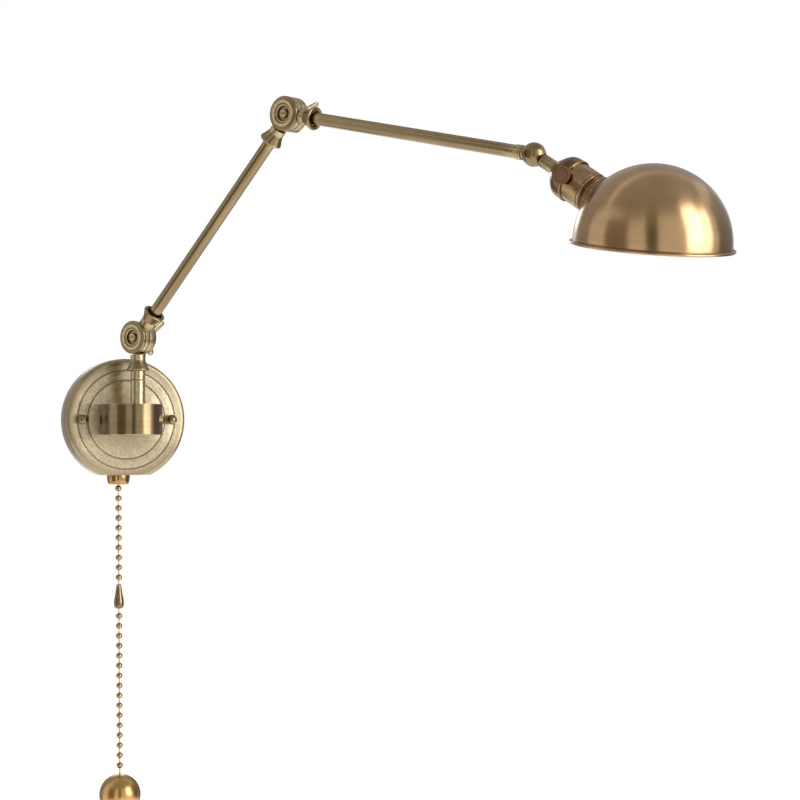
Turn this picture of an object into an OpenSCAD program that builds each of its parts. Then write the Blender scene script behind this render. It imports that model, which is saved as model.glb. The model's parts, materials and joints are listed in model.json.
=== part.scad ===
// Swing-arm wall lamp: a round canopy, a swivelling stem, two jointed arms,
// a tilting lampholder with a domed shade, and a pull-chain switch.
// Millimetres. The wall is the plane y = 0, the lamp stands out toward -Y, +Z is up.
// The origin is the middle of the canopy on the wall.

/* [Pose] */
// Turn of the arms from the wall line out into the room
arm_heading = 58; // [30:1:90]
// Rise of the lower arm above level
lower_tilt = 46.5; // [20:0.5:75]
// Fall of the upper arm below level
upper_fall = 12; // [-10:0.5:40]
// Fall of the lampholder below level
head_fall = 32.4; // [15:0.1:60]

/* [Arms] */
// Length of each arm from joint to joint
arm_length = 275; // [220:5:350]
// Outer radius of the arm tubes
tube_r = 5.75; // [5.4:0.05:6.1]
// Wall of the arm tubes
tube_wall = 1.2; // [0.8:0.1:1.6]
// Height of the lower joint above the canopy's middle
joint_height = 79; // [74:1:95]
// Distance from the wall to the stem's axis
stem_reach = 70; // [66:1:85]
// Outer radius of the stem
stem_r = 7; // [6.6:0.1:7.2]
// Wall of the stem
stem_wall = 1.8; // [1.5:0.1:2.2]

/* [Knuckle joints] */
// Radius of the round lugs
lug_r = 16; // [15:0.25:17]
// Height of a lug's face from the joint's middle plane
lug_face = 9.5; // [9:0.1:11]
// Radius of the neck that joins a lug to its tube
neck_r = 7.25; // [7:0.05:7.6]
// Distance from the joint's axis to the shoulder that the tube meets
neck_end = 22; // [20.5:0.5:25]
// Radius of the pivot bolts
bolt_r = 3; // [2.5:0.1:3.5]
// Largest radius of the bells over the tube ends
bell_r = 10.75; // [10.2:0.05:11.5]
// Length of a bell from its shoulder to the tip of its lip
bell_length = 10.4; // [9:0.1:13]
// Distance of the middle of a wing's round tip from the bolt's axis
wing_reach = 15.5; // [13:0.5:17]
// Distance of a wing's round tip from the joint's middle plane
wing_height = 25.5; // [23:0.5:28]
// Radius of a wing's round tip
wing_tip_r = 3; // [2.5:0.1:3.5]

/* [Head joint] */
// Radius of the ball-shaped swivel
ball_joint_r = 10.3; // [9.8:0.1:11]
// Radius of the neck between the swivel and the socket cap
head_neck_r = 5.9; // [5.4:0.1:6.4]
// Distance from the swivel's axis to the socket cap
cap_start = 25.5; // [22:0.5:30]

/* [Lampholder and shade] */
// Outer radius of the socket shell
shell_r = 17.25; // [17:0.05:18]
// Outer radius of the socket's thread for the shade
thread_r = 16.6; // [16.3:0.05:16.9]
// Wall of the socket shell
shell_wall = 0.9; // [0.6:0.1:1]
// Length of the socket shell in sight
shell_length = 19.5; // [17:0.5:28]
// Radius inside the screw shell that takes the bulb
bulb_thread_r = 13.3; // [13.1:0.05:13.5]
// Outer radius of the domed shade
shade_r = 65; // [60:1:75]
// Wall of the shade
shade_wall = 1; // [0.7:0.1:1.5]
// Radius of the shade's rolled flange
flange_r = 66.5; // [66.2:0.1:68.5]
// Turn of the shade's axis back from square to the lampholder
shade_back = 23.4; // [10:0.1:35]
// Twist of the shade about the lampholder
shade_twist = 6.7; // [0:0.1:12]

/* [Canopy] */
// Radius of the canopy
canopy_r = 60; // [57:0.5:66]
// Depth of the canopy from the wall
canopy_depth = 24; // [22:0.5:28]
// Wall of the canopy
canopy_wall = 1.2; // [0.8:0.1:1.6]
// Depth of the flat underside below the canopy's middle
canopy_flat = 54.5; // [52:0.5:56]
// Distance between the two studs
stud_spacing = 88.9; // [84:0.1:92]
// Distance between the two wall-screw slots
slot_spacing = 68; // [60:0.5:70]
// Height of the hub block
hub_height = 30; // [28:1:36]
// Radius of the hub block's round front, and half of its width
hub_r = 28; // [27.5:0.5:30]
// Distance from the stem's axis back to the middle of the hub's round front
stem_ahead = 16; // [13:0.5:17]

/* [Pull chain] */
// Sideways place of the switch from the canopy's middle
switch_x = -5; // [-8:0.5:8]
// Radius of the beads
bead_r = 3.15; // [2.8:0.05:3.4]
// Distance from bead to bead
bead_pitch = 9.75; // [9:0.05:11]
// Number of beads above the connector
upper_beads = 10; // [6:1:14]
// Number of beads below the connector
lower_beads = 16; // [10:1:20]
// Radius of the ball at the chain's end
pull_ball_r = 20.25; // [16:0.25:22]

/* [Hidden] */

$fn = 96;
brass = [0.62, 0.52, 0.35];
dark_brass = [0.49, 0.38, 0.24];
pale_brass = [0.74, 0.68, 0.52];
gold = [0.83, 0.62, 0.30];
steel = [0.62, 0.62, 0.62];
porcelain = [0.93, 0.92, 0.88];
fibre = [0.35, 0.2, 0.14];

// Clearances, all on the radius or across one face
turning_gap = 0.05;
thread_gap = 0.05;
seat_gap = 0.05;
hole_gap = 0.3;

// Places of the three tilting joints
function arm_way(tilt) = [cos(arm_heading)*cos(tilt), -sin(arm_heading)*cos(tilt), sin(tilt)];
lower_joint = [0, -stem_reach, joint_height];
elbow_joint = lower_joint + arm_length*arm_way(lower_tilt);
head_joint = elbow_joint + arm_length*arm_way(-upper_fall);

// Hinge frames: +X runs along the arm, -Y faces the near side of the joint
module at_joint(place, tilt)
    translate(place) rotate([0, 0, -arm_heading]) rotate([0, -tilt, 0]) children();
module along_x(start = 0) translate([start, 0, 0]) rotate([0, 90, 0]) children();
module from_wall(x = 0, z = 0) translate([x, 0, z]) rotate([90, 0, 0]) children();
near = -1;
far = 1;
module hinge_side(side) rotate([-90*side, 0, 0]) children();

function arc(x, y, r, from, to, steps) =
    [for (i = [0:steps]) let (a = from + (to - from)*i/steps) [x + r*cos(a), y + r*sin(a)]];

module tube(r, wall, h) difference() {
    cylinder(r = r, h = h);
    translate([0, 0, -1]) cylinder(r = r - wall, h = h + 2);
}
module ring(inner, outer, h) tube(outer, outer - inner, h);
module hex(flats, h) cylinder(r = flats/2/cos(30), h = h, $fn = 6);
module nut(flats, h, hole_r) difference() {
    hex(flats, h);
    translate([0, 0, -1]) cylinder(r = hole_r, h = h + 2);
}

// Canopy: a spun cup with a flat cut under it, closed by a wall that carries the switch
shoulder_r = 4.5;
groove_rs = [38.5, 48.5];
groove_half = 0.8;
groove_depth = 0.5;
flat_wall = 1.4;
nipple_r = 5;
switch_y = -canopy_depth/2;
neck_hole_r = nipple_r + hole_gap;

function canopy_face() = [for (g = [groove_rs[1], groove_rs[0]]) each [
    [g + groove_half, canopy_depth], [g, canopy_depth - groove_depth],
    [g - groove_half, canopy_depth]]];
module canopy_outline() polygon(concat([[0, 0], [canopy_r, 0]],
    arc(canopy_r - shoulder_r, canopy_depth - shoulder_r, shoulder_r, 0, 90, 8),
    canopy_face(), [[0, canopy_depth]]));
module canopy_hollow() polygon(concat([[0, -1], [canopy_r - canopy_wall, -1]],
    arc(canopy_r - shoulder_r, canopy_depth - shoulder_r, shoulder_r - canopy_wall, 0, 90, 8),
    [[0, canopy_depth - canopy_wall]]));
module above_flat(rise = 0) translate([-canopy_r, -canopy_depth - 1, -canopy_flat + rise])
    cube([2*canopy_r, canopy_depth + 2, canopy_flat + canopy_r]);
module at_studs() for (side = [-1, 1]) from_wall(side*stud_spacing/2) children();

module canopy() color(pale_brass) difference() {
    intersection() {
        from_wall() rotate_extrude() canopy_outline();
        above_flat();
    }
    intersection() {
        from_wall() rotate_extrude() canopy_hollow();
        above_flat(flat_wall);
    }
    at_studs() cylinder(r = stud_r + hole_gap, h = canopy_depth + 1);
    from_wall() cylinder(r = neck_hole_r, h = canopy_depth + 1);
    translate([switch_x, switch_y, -canopy_flat - 1]) cylinder(r = neck_hole_r, h = flat_wall + 2);
}

// Bracket on the wall, its studs and their nuts
stud_r = 2;
bracket_length = 104;
bracket_width = 22;
bracket_thickness = 2;
slot_r = 2.3;
slot_length = 14;
ground_x = -18;
ground_r = 1.7;
ground_head_r = 3.6;
ground_head_height = 2.2;
stud_end = canopy_depth + 6;
stud_nut_height = 3.2;
stud_nut_flats = 7;
cap_nut_r = 5;
cap_nut_neck_r = 3.1;
cap_nut_centre = 6.8;
cap_nut_flange = 1;
cap_nut_spare = 1.3;

module mounting_bracket() color(steel) difference() {
    from_wall() linear_extrude(bracket_thickness) difference() {
        square([bracket_length, bracket_width], center = true);
        circle(r = neck_hole_r);
        for (side = [-1, 1]) translate([side*slot_spacing/2, 0]) {
            square([slot_length - 2*slot_r, 2*slot_r], center = true);
            for (end = [-1, 1]) translate([end*(slot_length/2 - slot_r), 0]) circle(r = slot_r);
        }
    }
    at_studs() translate([0, 0, -1]) cylinder(r = stud_r + thread_gap, h = bracket_thickness + 2);
    from_wall(ground_x) translate([0, 0, -1])
        cylinder(r = ground_r + thread_gap, h = bracket_thickness + 2);
}
module bracket_studs() color(steel) at_studs() cylinder(r = stud_r, h = stud_end);
module stud_nuts() color(steel) at_studs() translate([0, 0, bracket_thickness])
    nut(stud_nut_flats, stud_nut_height, stud_r + thread_gap);
module slot_cut(width, floor, reach) translate([-reach, -width/2, floor])
    cube([2*reach, width, reach]);
module ground_screw() color([0.2, 0.45, 0.25]) from_wall(ground_x) difference() {
    union() {
        cylinder(r = ground_r, h = bracket_thickness + 1);
        translate([0, 0, bracket_thickness]) cylinder(r = ground_head_r, h = ground_head_height);
    }
    slot_cut(0.8, bracket_thickness + ground_head_height - 0.9, ground_head_r + 1);
}
module cap_nuts() color(dark_brass) at_studs() translate([0, 0, canopy_depth]) difference() {
    union() {
        cylinder(r = cap_nut_neck_r + 0.7, h = cap_nut_flange);
        cylinder(r = cap_nut_neck_r, h = cap_nut_centre);
        translate([0, 0, cap_nut_centre]) sphere(r = cap_nut_r);
    }
    translate([0, 0, -1]) cylinder(r = stud_r + thread_gap, h = stud_end - canopy_depth + 1 + cap_nut_spare);
}

// Hub block: a casting with a round front, hollow from below, with the stem near its front
hub_wall = 6;
hub_top = 5;
hub_back = 6;
cover_lip = 3;
cover_thickness = 2.5;
bush_r = 9.5;
boss_r = bush_r + 2.3;
nut_room_r = 10.8;
post_r = 3.6;
post_x = hub_r - hub_wall - 2.9;
hub_round = stem_reach - stem_ahead;
post_y = 4 - hub_round;
cover_screw_r = 1.5;
cover_screw_length = 11;
cover_head_height = 1.25;
set_screw_r = 3;
set_bore_r = 5;
flat_bore_depth = 1.8;
round_bore_depth = 4.5;
set_screw_back = 1.2;
key_depth = 2;
stem_screw_turn = 5;
stem_screw_exit = stem_ahead*sin(stem_screw_turn)
    + sqrt(pow(hub_r, 2) - pow(stem_ahead*cos(stem_screw_turn), 2));
nipple_screw_y = -(canopy_depth + 12.5);
hub_under = -hub_height/2;
cavity_under = hub_under + cover_thickness;
cavity_top = hub_height/2 - hub_top;
bush_under = -set_screw_r - 0.5;
bush_length = hub_height/2 - bush_under;
nipple_nut_height = 2.4;
nipple_wall = 1.5;
nipple_nut_flats = 14;
nipple_end = canopy_depth + 17;
nipple_start = canopy_depth - canopy_wall - nipple_nut_height - 4;

module hub_plan(inset, back) {
    intersection() {
        translate([0, -hub_round]) circle(r = hub_r - inset);
        translate([-hub_r, -hub_round - hub_r]) square([2*hub_r, hub_r]);
    }
    translate([-(hub_r - inset), -hub_round])
        square([2*(hub_r - inset), hub_round - back]);
}
module hub_slab(inset, back, low, high) translate([0, 0, low])
    linear_extrude(high - low) hub_plan(inset, back);
module at_posts() for (side = [-1, 1]) translate([side*post_x, post_y, 0]) children();
module on_stem() translate([0, -stem_reach, 0]) children();
module at_stem_screw() on_stem() rotate([0, 0, stem_screw_turn]) rotate([0, 90, 0]) children();
module at_nipple_screw() translate([0, nipple_screw_y, 0]) rotate([0, -90, 0]) children();
module set_screw_hole(floor) {
    translate([0, 0, bush_r]) cylinder(r = set_screw_r + thread_gap, h = hub_r);
    translate([0, 0, floor]) cylinder(r = set_bore_r, h = hub_r);
}
module set_screw(start, floor) difference() {
    translate([0, 0, start]) cylinder(r = set_screw_r, h = floor - set_screw_back - start);
    translate([0, 0, floor - set_screw_back - key_depth]) hex(set_screw_r, key_depth + 1);
}

module hub_shell() color(dark_brass) difference() {
    union() {
        difference() {
            hub_slab(0, canopy_depth, hub_under, hub_height/2);
            hub_slab(hub_wall, canopy_depth + hub_back, cavity_under, cavity_top);
            hub_slab(cover_lip, canopy_depth + hub_back - cover_lip, hub_under - 1, cavity_under);
        }
        on_stem() translate([0, 0, bush_under])
            cylinder(r = boss_r, h = cavity_top - bush_under + 1);
        at_posts() translate([0, 0, cavity_under])
            cylinder(r = post_r, h = cavity_top - cavity_under + 1);
    }
    on_stem() translate([0, 0, bush_under - 1]) cylinder(r = bush_r, h = bush_length + 2);
    on_stem() translate([0, 0, cavity_under]) cylinder(r = nut_room_r, h = bush_under - cavity_under);
    from_wall() cylinder(r = neck_hole_r, h = nipple_end + 1);
    at_posts() translate([0, 0, cavity_under - 1])
        cylinder(r = cover_screw_r + thread_gap, h = cover_screw_length);
    at_stem_screw() set_screw_hole(stem_screw_exit - round_bore_depth);
    at_nipple_screw() set_screw_hole(hub_r - flat_bore_depth);
}
module hub_cover() color(dark_brass) difference() {
    hub_slab(cover_lip + seat_gap, canopy_depth + hub_back - cover_lip + seat_gap,
        hub_under, cavity_under - seat_gap);
    at_posts() translate([0, 0, hub_under - 1]) {
        cylinder(r = cover_screw_r + hole_gap, h = cover_thickness + 2);
        cylinder(r = 2*cover_screw_r + hole_gap, h = cover_head_height + seat_gap + 1);
    }
}
module cover_screws() color(steel) at_posts() translate([0, 0, hub_under]) difference() {
    union() {
        cylinder(r = cover_screw_r, h = cover_screw_length);
        cylinder(r = 2*cover_screw_r, h = cover_head_height);
    }
    translate([-2*cover_screw_r - 1, -0.3, -1]) cube([4*cover_screw_r + 2, 0.6, 1 + cover_head_height/2]);
}
module stem_set_screw() color(steel) at_stem_screw()
    set_screw(bush_r + seat_gap, stem_screw_exit - round_bore_depth);
module nipple_set_screw() color(steel) at_nipple_screw()
    set_screw(nipple_r + seat_gap, hub_r - flat_bore_depth);
module hub_nipple() color(gold) from_wall() translate([0, 0, nipple_start])
    tube(nipple_r, nipple_wall, nipple_end - nipple_start);
module nipple_nuts() color(gold) {
    from_wall() translate([0, 0, canopy_depth - canopy_wall - nipple_nut_height])
        nut(nipple_nut_flats, nipple_nut_height, nipple_r + thread_gap);
    from_wall() translate([0, 0, canopy_depth + hub_back])
        nut(nipple_nut_flats, nipple_nut_height, nipple_r + thread_gap);
}
module swivel_bush() color(gold) on_stem() translate([0, 0, bush_under])
    ring(stem_r + turning_gap, bush_r - seat_gap/2, bush_length);
washer_thickness = 0.9;
washer_top = bush_under - seat_gap;
module thrust_washer() color(fibre) on_stem() translate([0, 0, washer_top - washer_thickness])
    ring(stem_r + turning_gap, nut_room_r - 0.5, washer_thickness);

// Pull-chain switch inside the canopy, and the polished nozzle nut under it
switch_width = 24;
switch_depth = 16;
switch_height = 26;
switch_bore_r = 3.6;
switch_neck_length = 7.6;
switch_bore_depth = 16;
nozzle_height = 9.6;
nozzle_r = 11.4;
nozzle_lip_r = 8.2;
nozzle_mouth_r = 3.9;
switch_under = -canopy_flat + flat_wall;
nozzle_under = -canopy_flat - nozzle_height;

module under_switch(z) translate([switch_x, switch_y, z]) children();
module switch_body() color([0.15, 0.15, 0.16]) difference() {
    union() {
        under_switch(switch_under + seat_gap + switch_height/2)
            cube([switch_width, switch_depth, switch_height], center = true);
        under_switch(-canopy_flat - switch_neck_length)
            cylinder(r = nipple_r, h = switch_neck_length + flat_wall + 2);
    }
    under_switch(-canopy_flat - switch_neck_length - 1)
        cylinder(r = switch_bore_r, h = switch_neck_length + flat_wall + switch_bore_depth + 1);
}
module switch_nozzle() color(gold) under_switch(nozzle_under) rotate_extrude() polygon([
    [nozzle_mouth_r, 0], [nozzle_lip_r, 0], [nozzle_lip_r + 0.9, 0.35],
    [nozzle_r - 1.2, 1.6], [nozzle_r - 0.5, 4], [nozzle_r - 0.1, 8.6], [nozzle_r - 0.3, nozzle_height],
    [nipple_r + thread_gap, nozzle_height],
    [nipple_r + thread_gap, nozzle_height - switch_neck_length - seat_gap],
    [nozzle_mouth_r, nozzle_height - switch_neck_length - seat_gap]]);

// Stem and its nut
stem_spigot_r = stem_r - stem_wall - seat_gap;
stem_seat = 3;
stem_nut_height = 5;
stem_nut_flats = 17.8;
stem_top = joint_height - neck_end - stem_seat;
stem_under = washer_top - washer_thickness - seat_gap - stem_nut_height - 1.5;
stem_ring_z = 38;
module stem_tube() color(brass) on_stem() difference() {
    translate([0, 0, stem_under]) tube(stem_r, stem_wall, stem_top - stem_under);
    translate([0, 0, stem_ring_z]) rotate_extrude()
        polygon([[stem_r - 0.3, 0], [stem_r + 1, -0.5], [stem_r + 1, 0.5]]);
}
module stem_nut() color(gold) on_stem()
    translate([0, 0, washer_top - washer_thickness - seat_gap - stem_nut_height])
    nut(stem_nut_flats, stem_nut_height, stem_r + thread_gap);

// Bell over a tube's end: a cone that opens a little toward its round lip, with a hollow mouth
mouth_wall = 3.05;
mouth_depth = 4;
flare_steps = 8;
flare_bend = 1.2;
module bell(inner_r, seat) {
    nose = mouth_wall/2;
    flare = bell_length - nose;
    mouth = max(bell_r - mouth_wall, inner_r + 1);
    lip = (bell_r - mouth)/2;
    along_x(neck_end) rotate_extrude() polygon(concat(
        [for (i = [0:flare_steps]) let (t = i/flare_steps)
            [neck_r + (bell_r - neck_r)*pow(t, flare_bend), flare*t]],
        [for (i = [1:6]) let (a = 180*i/6) [mouth + lip + lip*cos(a), flare + nose*sin(a)]],
        [[mouth, bell_length - mouth_depth], [inner_r + seat_gap, bell_length - mouth_depth]],
        seat > 0 ? [[inner_r + seat_gap, seat], [stem_spigot_r + seat_gap, seat],
            [stem_spigot_r + seat_gap, 0]] : [[inner_r + seat_gap, 0]]));
}
module stem_bell() color(brass) at_joint(lower_joint, -90) bell(stem_r, stem_seat);

// Knuckle: two round lugs face to face, each with a neck on the joint's middle line
middle_gap = 0.45;
neck_start = lug_r + 0.9;
neck_root = 9;
spigot_length = 12;
head_recess_r = 7;
head_recess_floor = lug_face - 3.1;
cap_groove = 5.2;
step_outer_r = 12.6;
step_inner_r = 9.6;
step_height = 0.7;
near_lug = [
    [bolt_r + turning_gap, middle_gap], [lug_r, middle_gap],
    [lug_r, cap_groove - 0.5], [lug_r - 0.8, cap_groove - 0.3],
    [lug_r - 0.8, cap_groove + 0.3], [lug_r, cap_groove + 0.5],
    [lug_r, lug_face - 1.5], [lug_r - 0.3, lug_face - 1], [lug_r - 0.9, lug_face - step_height],
    [step_outer_r, lug_face - step_height], [step_outer_r - 0.3, lug_face],
    [step_inner_r, lug_face], [step_inner_r - 0.3, lug_face - step_height],
    [head_recess_r + 0.4, lug_face - step_height], [head_recess_r, lug_face - step_height - 0.4],
    [head_recess_r, head_recess_floor], [bolt_r + turning_gap, head_recess_floor]];
far_lug = [
    [bolt_r + turning_gap, middle_gap], [lug_r, middle_gap], [lug_r, lug_face - 1.2],
    [lug_r - 0.4, lug_face - 0.6], [lug_r - 1, lug_face - 0.2], [bolt_r + turning_gap, lug_face - 0.2]];

module knuckle_half(side, lug, spigot_r) {
    hinge_side(side) rotate_extrude() polygon(lug);
    intersection() {
        along_x(neck_root) cylinder(r = neck_r, h = neck_start - neck_root);
        translate([0, side > 0 ? middle_gap : -lug_r - middle_gap, -lug_r])
            cube([2*lug_r, lug_r, 2*lug_r]);
    }
    along_x(neck_start) cylinder(r = neck_r, h = neck_end - neck_start);
    along_x(neck_end - 1) cylinder(r = spigot_r, h = spigot_length + 1);
}
bolt_back = 0.8;
module pivot_bolt() hinge_side(near) difference() {
    union() {
        translate([0, 0, -wing_hub_end + bolt_back])
            cylinder(r = bolt_r, h = wing_hub_end - bolt_back + head_recess_floor + 1);
        translate([0, 0, head_recess_floor + seat_gap]) rotate_extrude() polygon([
            [0, 0], [4.3, 0], [4.3, 1.2], [3.6, 1.9], [2.2, 2.3], [0, 2.4]]);
    }
    slot_cut(1, head_recess_floor + 1.6, head_recess_r);
}
module knuckle_washer() hinge_side(near) translate([0, 0, -middle_gap + seat_gap])
    ring(bolt_r + turning_gap, lug_r - 3, 2*(middle_gap - seat_gap));

// Wing nut on the far side of a knuckle
wing_hub_start = lug_face;
wing_hub_end = lug_face + 9;
wing_hub_r = 6.5;
wing_thickness = 2.8;
wing_root = [3.6, lug_face + 4.8];
wing_root_r = 3.4;
module wing_nut() hinge_side(far) difference() {
    union() {
        translate([0, 0, wing_hub_start]) rotate_extrude() polygon([
            [0, 0], [wing_hub_r + 1, 0], [wing_hub_r + 1, 1], [wing_hub_r, 1.4],
            [wing_hub_r - 1.2, wing_hub_end - wing_hub_start - 0.6],
            [wing_hub_r - 1.8, wing_hub_end - wing_hub_start], [0, wing_hub_end - wing_hub_start]]);
        for (side = [0, 1]) mirror([side, 0, 0]) rotate([90, 0, 0])
            linear_extrude(wing_thickness, center = true) wing_plan();
    }
    translate([0, 0, wing_hub_start - 1])
        cylinder(r = bolt_r + turning_gap, h = wing_hub_end - wing_hub_start + 2);
}
module wing_plan() {
    tip = [wing_reach, wing_height];
    lean = atan2(tip[1] - wing_root[1], tip[0] - wing_root[0]);
    side = [-sin(lean), cos(lean)];
    polygon([wing_root + wing_root_r*side, wing_root - wing_root_r*side,
        tip - wing_tip_r*side, tip + wing_tip_r*side]);
    translate(tip) circle(r = wing_tip_r);
}

arm_spigot_r = tube_r - tube_wall - seat_gap;
lower_wing_turn = 63;
elbow_wing_turn = 45;
module arm_tube(start, end) along_x(start) tube(tube_r, tube_wall, end - start);

module mast_knuckle() color(brass) at_joint(lower_joint, -90)
    knuckle_half(far, far_lug, stem_spigot_r);
module lower_bolt() color(dark_brass) at_joint(lower_joint, 0) pivot_bolt();
module lower_washer() color(fibre) at_joint(lower_joint, 0) knuckle_washer();
module lower_wing_nut() color(brass) at_joint(lower_joint, lower_wing_turn) wing_nut();

module lower_arm_knuckle() color(brass) at_joint(lower_joint, lower_tilt)
    knuckle_half(near, near_lug, arm_spigot_r);
module lower_arm_bell() color(brass) at_joint(lower_joint, lower_tilt) bell(tube_r, 0);
module lower_arm_tube() color(brass) at_joint(lower_joint, lower_tilt)
    arm_tube(neck_end, arm_length - neck_end);
module lower_arm_end_bell() color(brass) at_joint(elbow_joint, lower_tilt + 180) bell(tube_r, 0);
module elbow_lower_half() color(brass) at_joint(elbow_joint, lower_tilt + 180)
    knuckle_half(far, far_lug, arm_spigot_r);
module elbow_bolt() color(dark_brass) at_joint(elbow_joint, 0) pivot_bolt();
module elbow_washer() color(fibre) at_joint(elbow_joint, 0) knuckle_washer();
module elbow_wing_nut() color(brass) at_joint(elbow_joint, elbow_wing_turn) wing_nut();

module elbow_upper_half() color(brass) at_joint(elbow_joint, -upper_fall)
    knuckle_half(near, near_lug, arm_spigot_r);
module upper_arm_bell() color(brass) at_joint(elbow_joint, -upper_fall) bell(tube_r, 0);
module upper_arm_tube() color(brass) at_joint(elbow_joint, -upper_fall)
    arm_tube(neck_end, arm_length - ball_neck_end);

// Ball-shaped swivel: two half balls face to face on one screw
ball_gap = 0.3;
ball_neck_start = ball_joint_r + 0.5;
ball_neck_end = ball_joint_r + 1.1;
ball_neck_r = 5.3;
ferrule_length = 6.5;
ferrule_r = tube_r + 0.6;
head_screw_r = 2;
screw_head_r = 3.2;
screw_seat = ball_joint_r - 3.2;
screw_reach = ball_joint_r - 3.5;
screw_head_height = 1.7;
module ball_half(side, neck, neck_length) {
    intersection() {
        sphere(r = ball_joint_r);
        half_space(side);
    }
    intersection() {
        along_x(ball_joint_r - 5) cylinder(r = neck, h = 5 + ball_neck_start - ball_joint_r);
        half_space(side);
    }
    along_x(ball_neck_start) cylinder(r = neck, h = neck_length - ball_neck_start);
}
module half_space(side) translate([-2*ball_joint_r, side > 0 ? ball_gap : -4*ball_joint_r - ball_gap,
    -2*ball_joint_r]) cube(4*ball_joint_r);
module head_ball_near() color(brass) at_joint(head_joint, 180 - upper_fall) difference() {
    union() {
        ball_half(near, ball_neck_r, ball_neck_end);
        along_x(ball_neck_end - 0.5) cylinder(r = arm_spigot_r, h = spigot_length);
    }
    hinge_side(near) cylinder(r = head_screw_r + thread_gap, h = 2*ball_joint_r);
    hinge_side(near) translate([0, 0, screw_seat])
        cylinder(r = screw_head_r + hole_gap, h = ball_joint_r);
}
module head_screw() color(dark_brass) at_joint(head_joint, 0) hinge_side(near) difference() {
    union() {
        translate([0, 0, -screw_reach])
            cylinder(r = head_screw_r, h = screw_reach + screw_seat + 0.5);
        translate([0, 0, screw_seat + seat_gap]) cylinder(r = screw_head_r, h = screw_head_height);
    }
    slot_cut(0.8, screw_seat + 1, 2*screw_head_r);
}
module head_washer() color(fibre) at_joint(head_joint, 0) hinge_side(near)
    translate([0, 0, -ball_gap + seat_gap])
    ring(head_screw_r + turning_gap, ball_joint_r - 2.5, 2*(ball_gap - seat_gap));
module upper_arm_ferrule() color(dark_brass) at_joint(head_joint, 180 - upper_fall)
    along_x(ball_neck_end) ring(tube_r + seat_gap, ferrule_r, ferrule_length);

// Lampholder, in the frame of the head joint with +X toward the bulb
module in_head() at_joint(head_joint, -head_fall) children();
module turned() along_x() rotate_extrude() children();
cap_hub_r = 7;
cap_hub_wall = 3;
cap_rim_r = shell_r + 1.45;
cap_length = 22.5;
cap_rim = cap_start + cap_length;
cap_spigot_r = 4.9;
cap_wall = 1.3;
lock_nut_flats = 11;
lock_nut_height = 2.6;
cap_curve = [[1.5, 1.5], [5, 5], [8, 8], [10.5, 11.5], [11.5, 16.5]];
cap_scale = (cap_rim_r - cap_hub_r)/11.7;
module head_ball_far() color(brass) in_head() difference() {
    union() {
        ball_half(far, head_neck_r, cap_start);
        along_x(cap_start - 1) cylinder(r = cap_spigot_r, h = cap_hub_wall + 5);
    }
    hinge_side(far) cylinder(r = head_screw_r + turning_gap, h = screw_reach + 0.5);
}
module socket_cap() color(dark_brass) difference() {
    in_head() turned() polygon(concat(
        [[cap_spigot_r + seat_gap, cap_start], [cap_hub_r, cap_start]],
        [for (p = cap_curve) [cap_hub_r + cap_scale*p[0], cap_start + p[1]]],
        [[cap_rim_r, cap_rim], [cap_rim_r - cap_wall, cap_rim],
            [cap_rim_r - cap_wall, cap_start + cap_curve[4][1]]],
        [for (i = [3:-1:1]) [cap_hub_r + cap_scale*cap_curve[i][0] - 0.7*cap_wall,
            cap_start + cap_curve[i][1] + 0.7*cap_wall]],
        [[cap_hub_r + 0.6, cap_start + cap_hub_wall],
            [cap_spigot_r + seat_gap, cap_start + cap_hub_wall]]));
    at_knob() cylinder(r = knob_stem_r + turning_gap, h = 2*cap_rim_r);
}
module cap_lock_nut() color(gold) in_head() along_x(cap_start + cap_hub_wall)
    nut(lock_nut_flats, lock_nut_height, cap_spigot_r + thread_gap);

shell_start = cap_rim - 5.7;
shell_end = cap_rim + shell_length;
thread_length = 20.3;
thread_end = shell_end + thread_length;
knob_along = cap_rim - 1.9;
knob_turn = 9;
knob_stem_r = 2.95;
knob_r = 7.7;
knob_thickness = 2.4;
knob_under = cap_rim_r + 0.25;
module at_knob() in_head() translate([knob_along, 0, 0]) rotate([-knob_turn, 0, 0])
    rotate([90, 0, 0]) children();
module socket_shell() color(dark_brass) difference() {
    in_head() turned() polygon([
        [shell_r - shell_wall, shell_start], [shell_r, shell_start], [shell_r, shell_end],
        [thread_r, shell_end + 0.4], [thread_r, thread_end], [thread_r - shell_wall, thread_end],
        [thread_r - shell_wall, shell_end - 0.8], [shell_r - shell_wall, shell_end - 1.4]]);
    at_knob() cylinder(r = knob_stem_r + turning_gap, h = 2*shell_r);
}
insert_r = thread_r - shell_wall - seat_gap;
insert_start = cap_rim - 6;
insert_base = 20.5;
insert_floor = insert_start + insert_base;
insert_end = thread_end - 2;
screw_shell_wall = 0.45;
module socket_insert() color(porcelain) in_head() difference() {
    along_x(insert_start) cylinder(r = insert_r, h = insert_end - insert_start);
    along_x(insert_floor)
        cylinder(r = bulb_thread_r + screw_shell_wall + seat_gap, h = insert_end);
}
screw_shell_start = insert_floor + 4;
screw_shell_end = insert_end - 0.8;
module screw_shell() color(gold) in_head() along_x(screw_shell_start)
    tube(bulb_thread_r + screw_shell_wall, screw_shell_wall, screw_shell_end - screw_shell_start);
module centre_contact() color(gold) in_head() turned() polygon([
    [0, insert_floor], [4, insert_floor], [4, insert_floor + 0.6], [2.4, insert_floor + 1.2],
    [2.2, insert_floor + 2.6], [1.4, insert_floor + 3.2], [0, insert_floor + 3.3]]);
module socket_knob() color([0.33, 0.2, 0.12]) at_knob() {
    translate([0, 0, insert_r + 0.4]) cylinder(r = knob_stem_r, h = knob_under - insert_r);
    translate([0, 0, knob_under]) rotate_extrude() polygon([
        [0, 0], [knob_r - 0.4, 0], [knob_r, 0.5], [knob_r, knob_thickness - 0.6],
        [knob_r - 0.6, knob_thickness], [0, knob_thickness]]);
}

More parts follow.
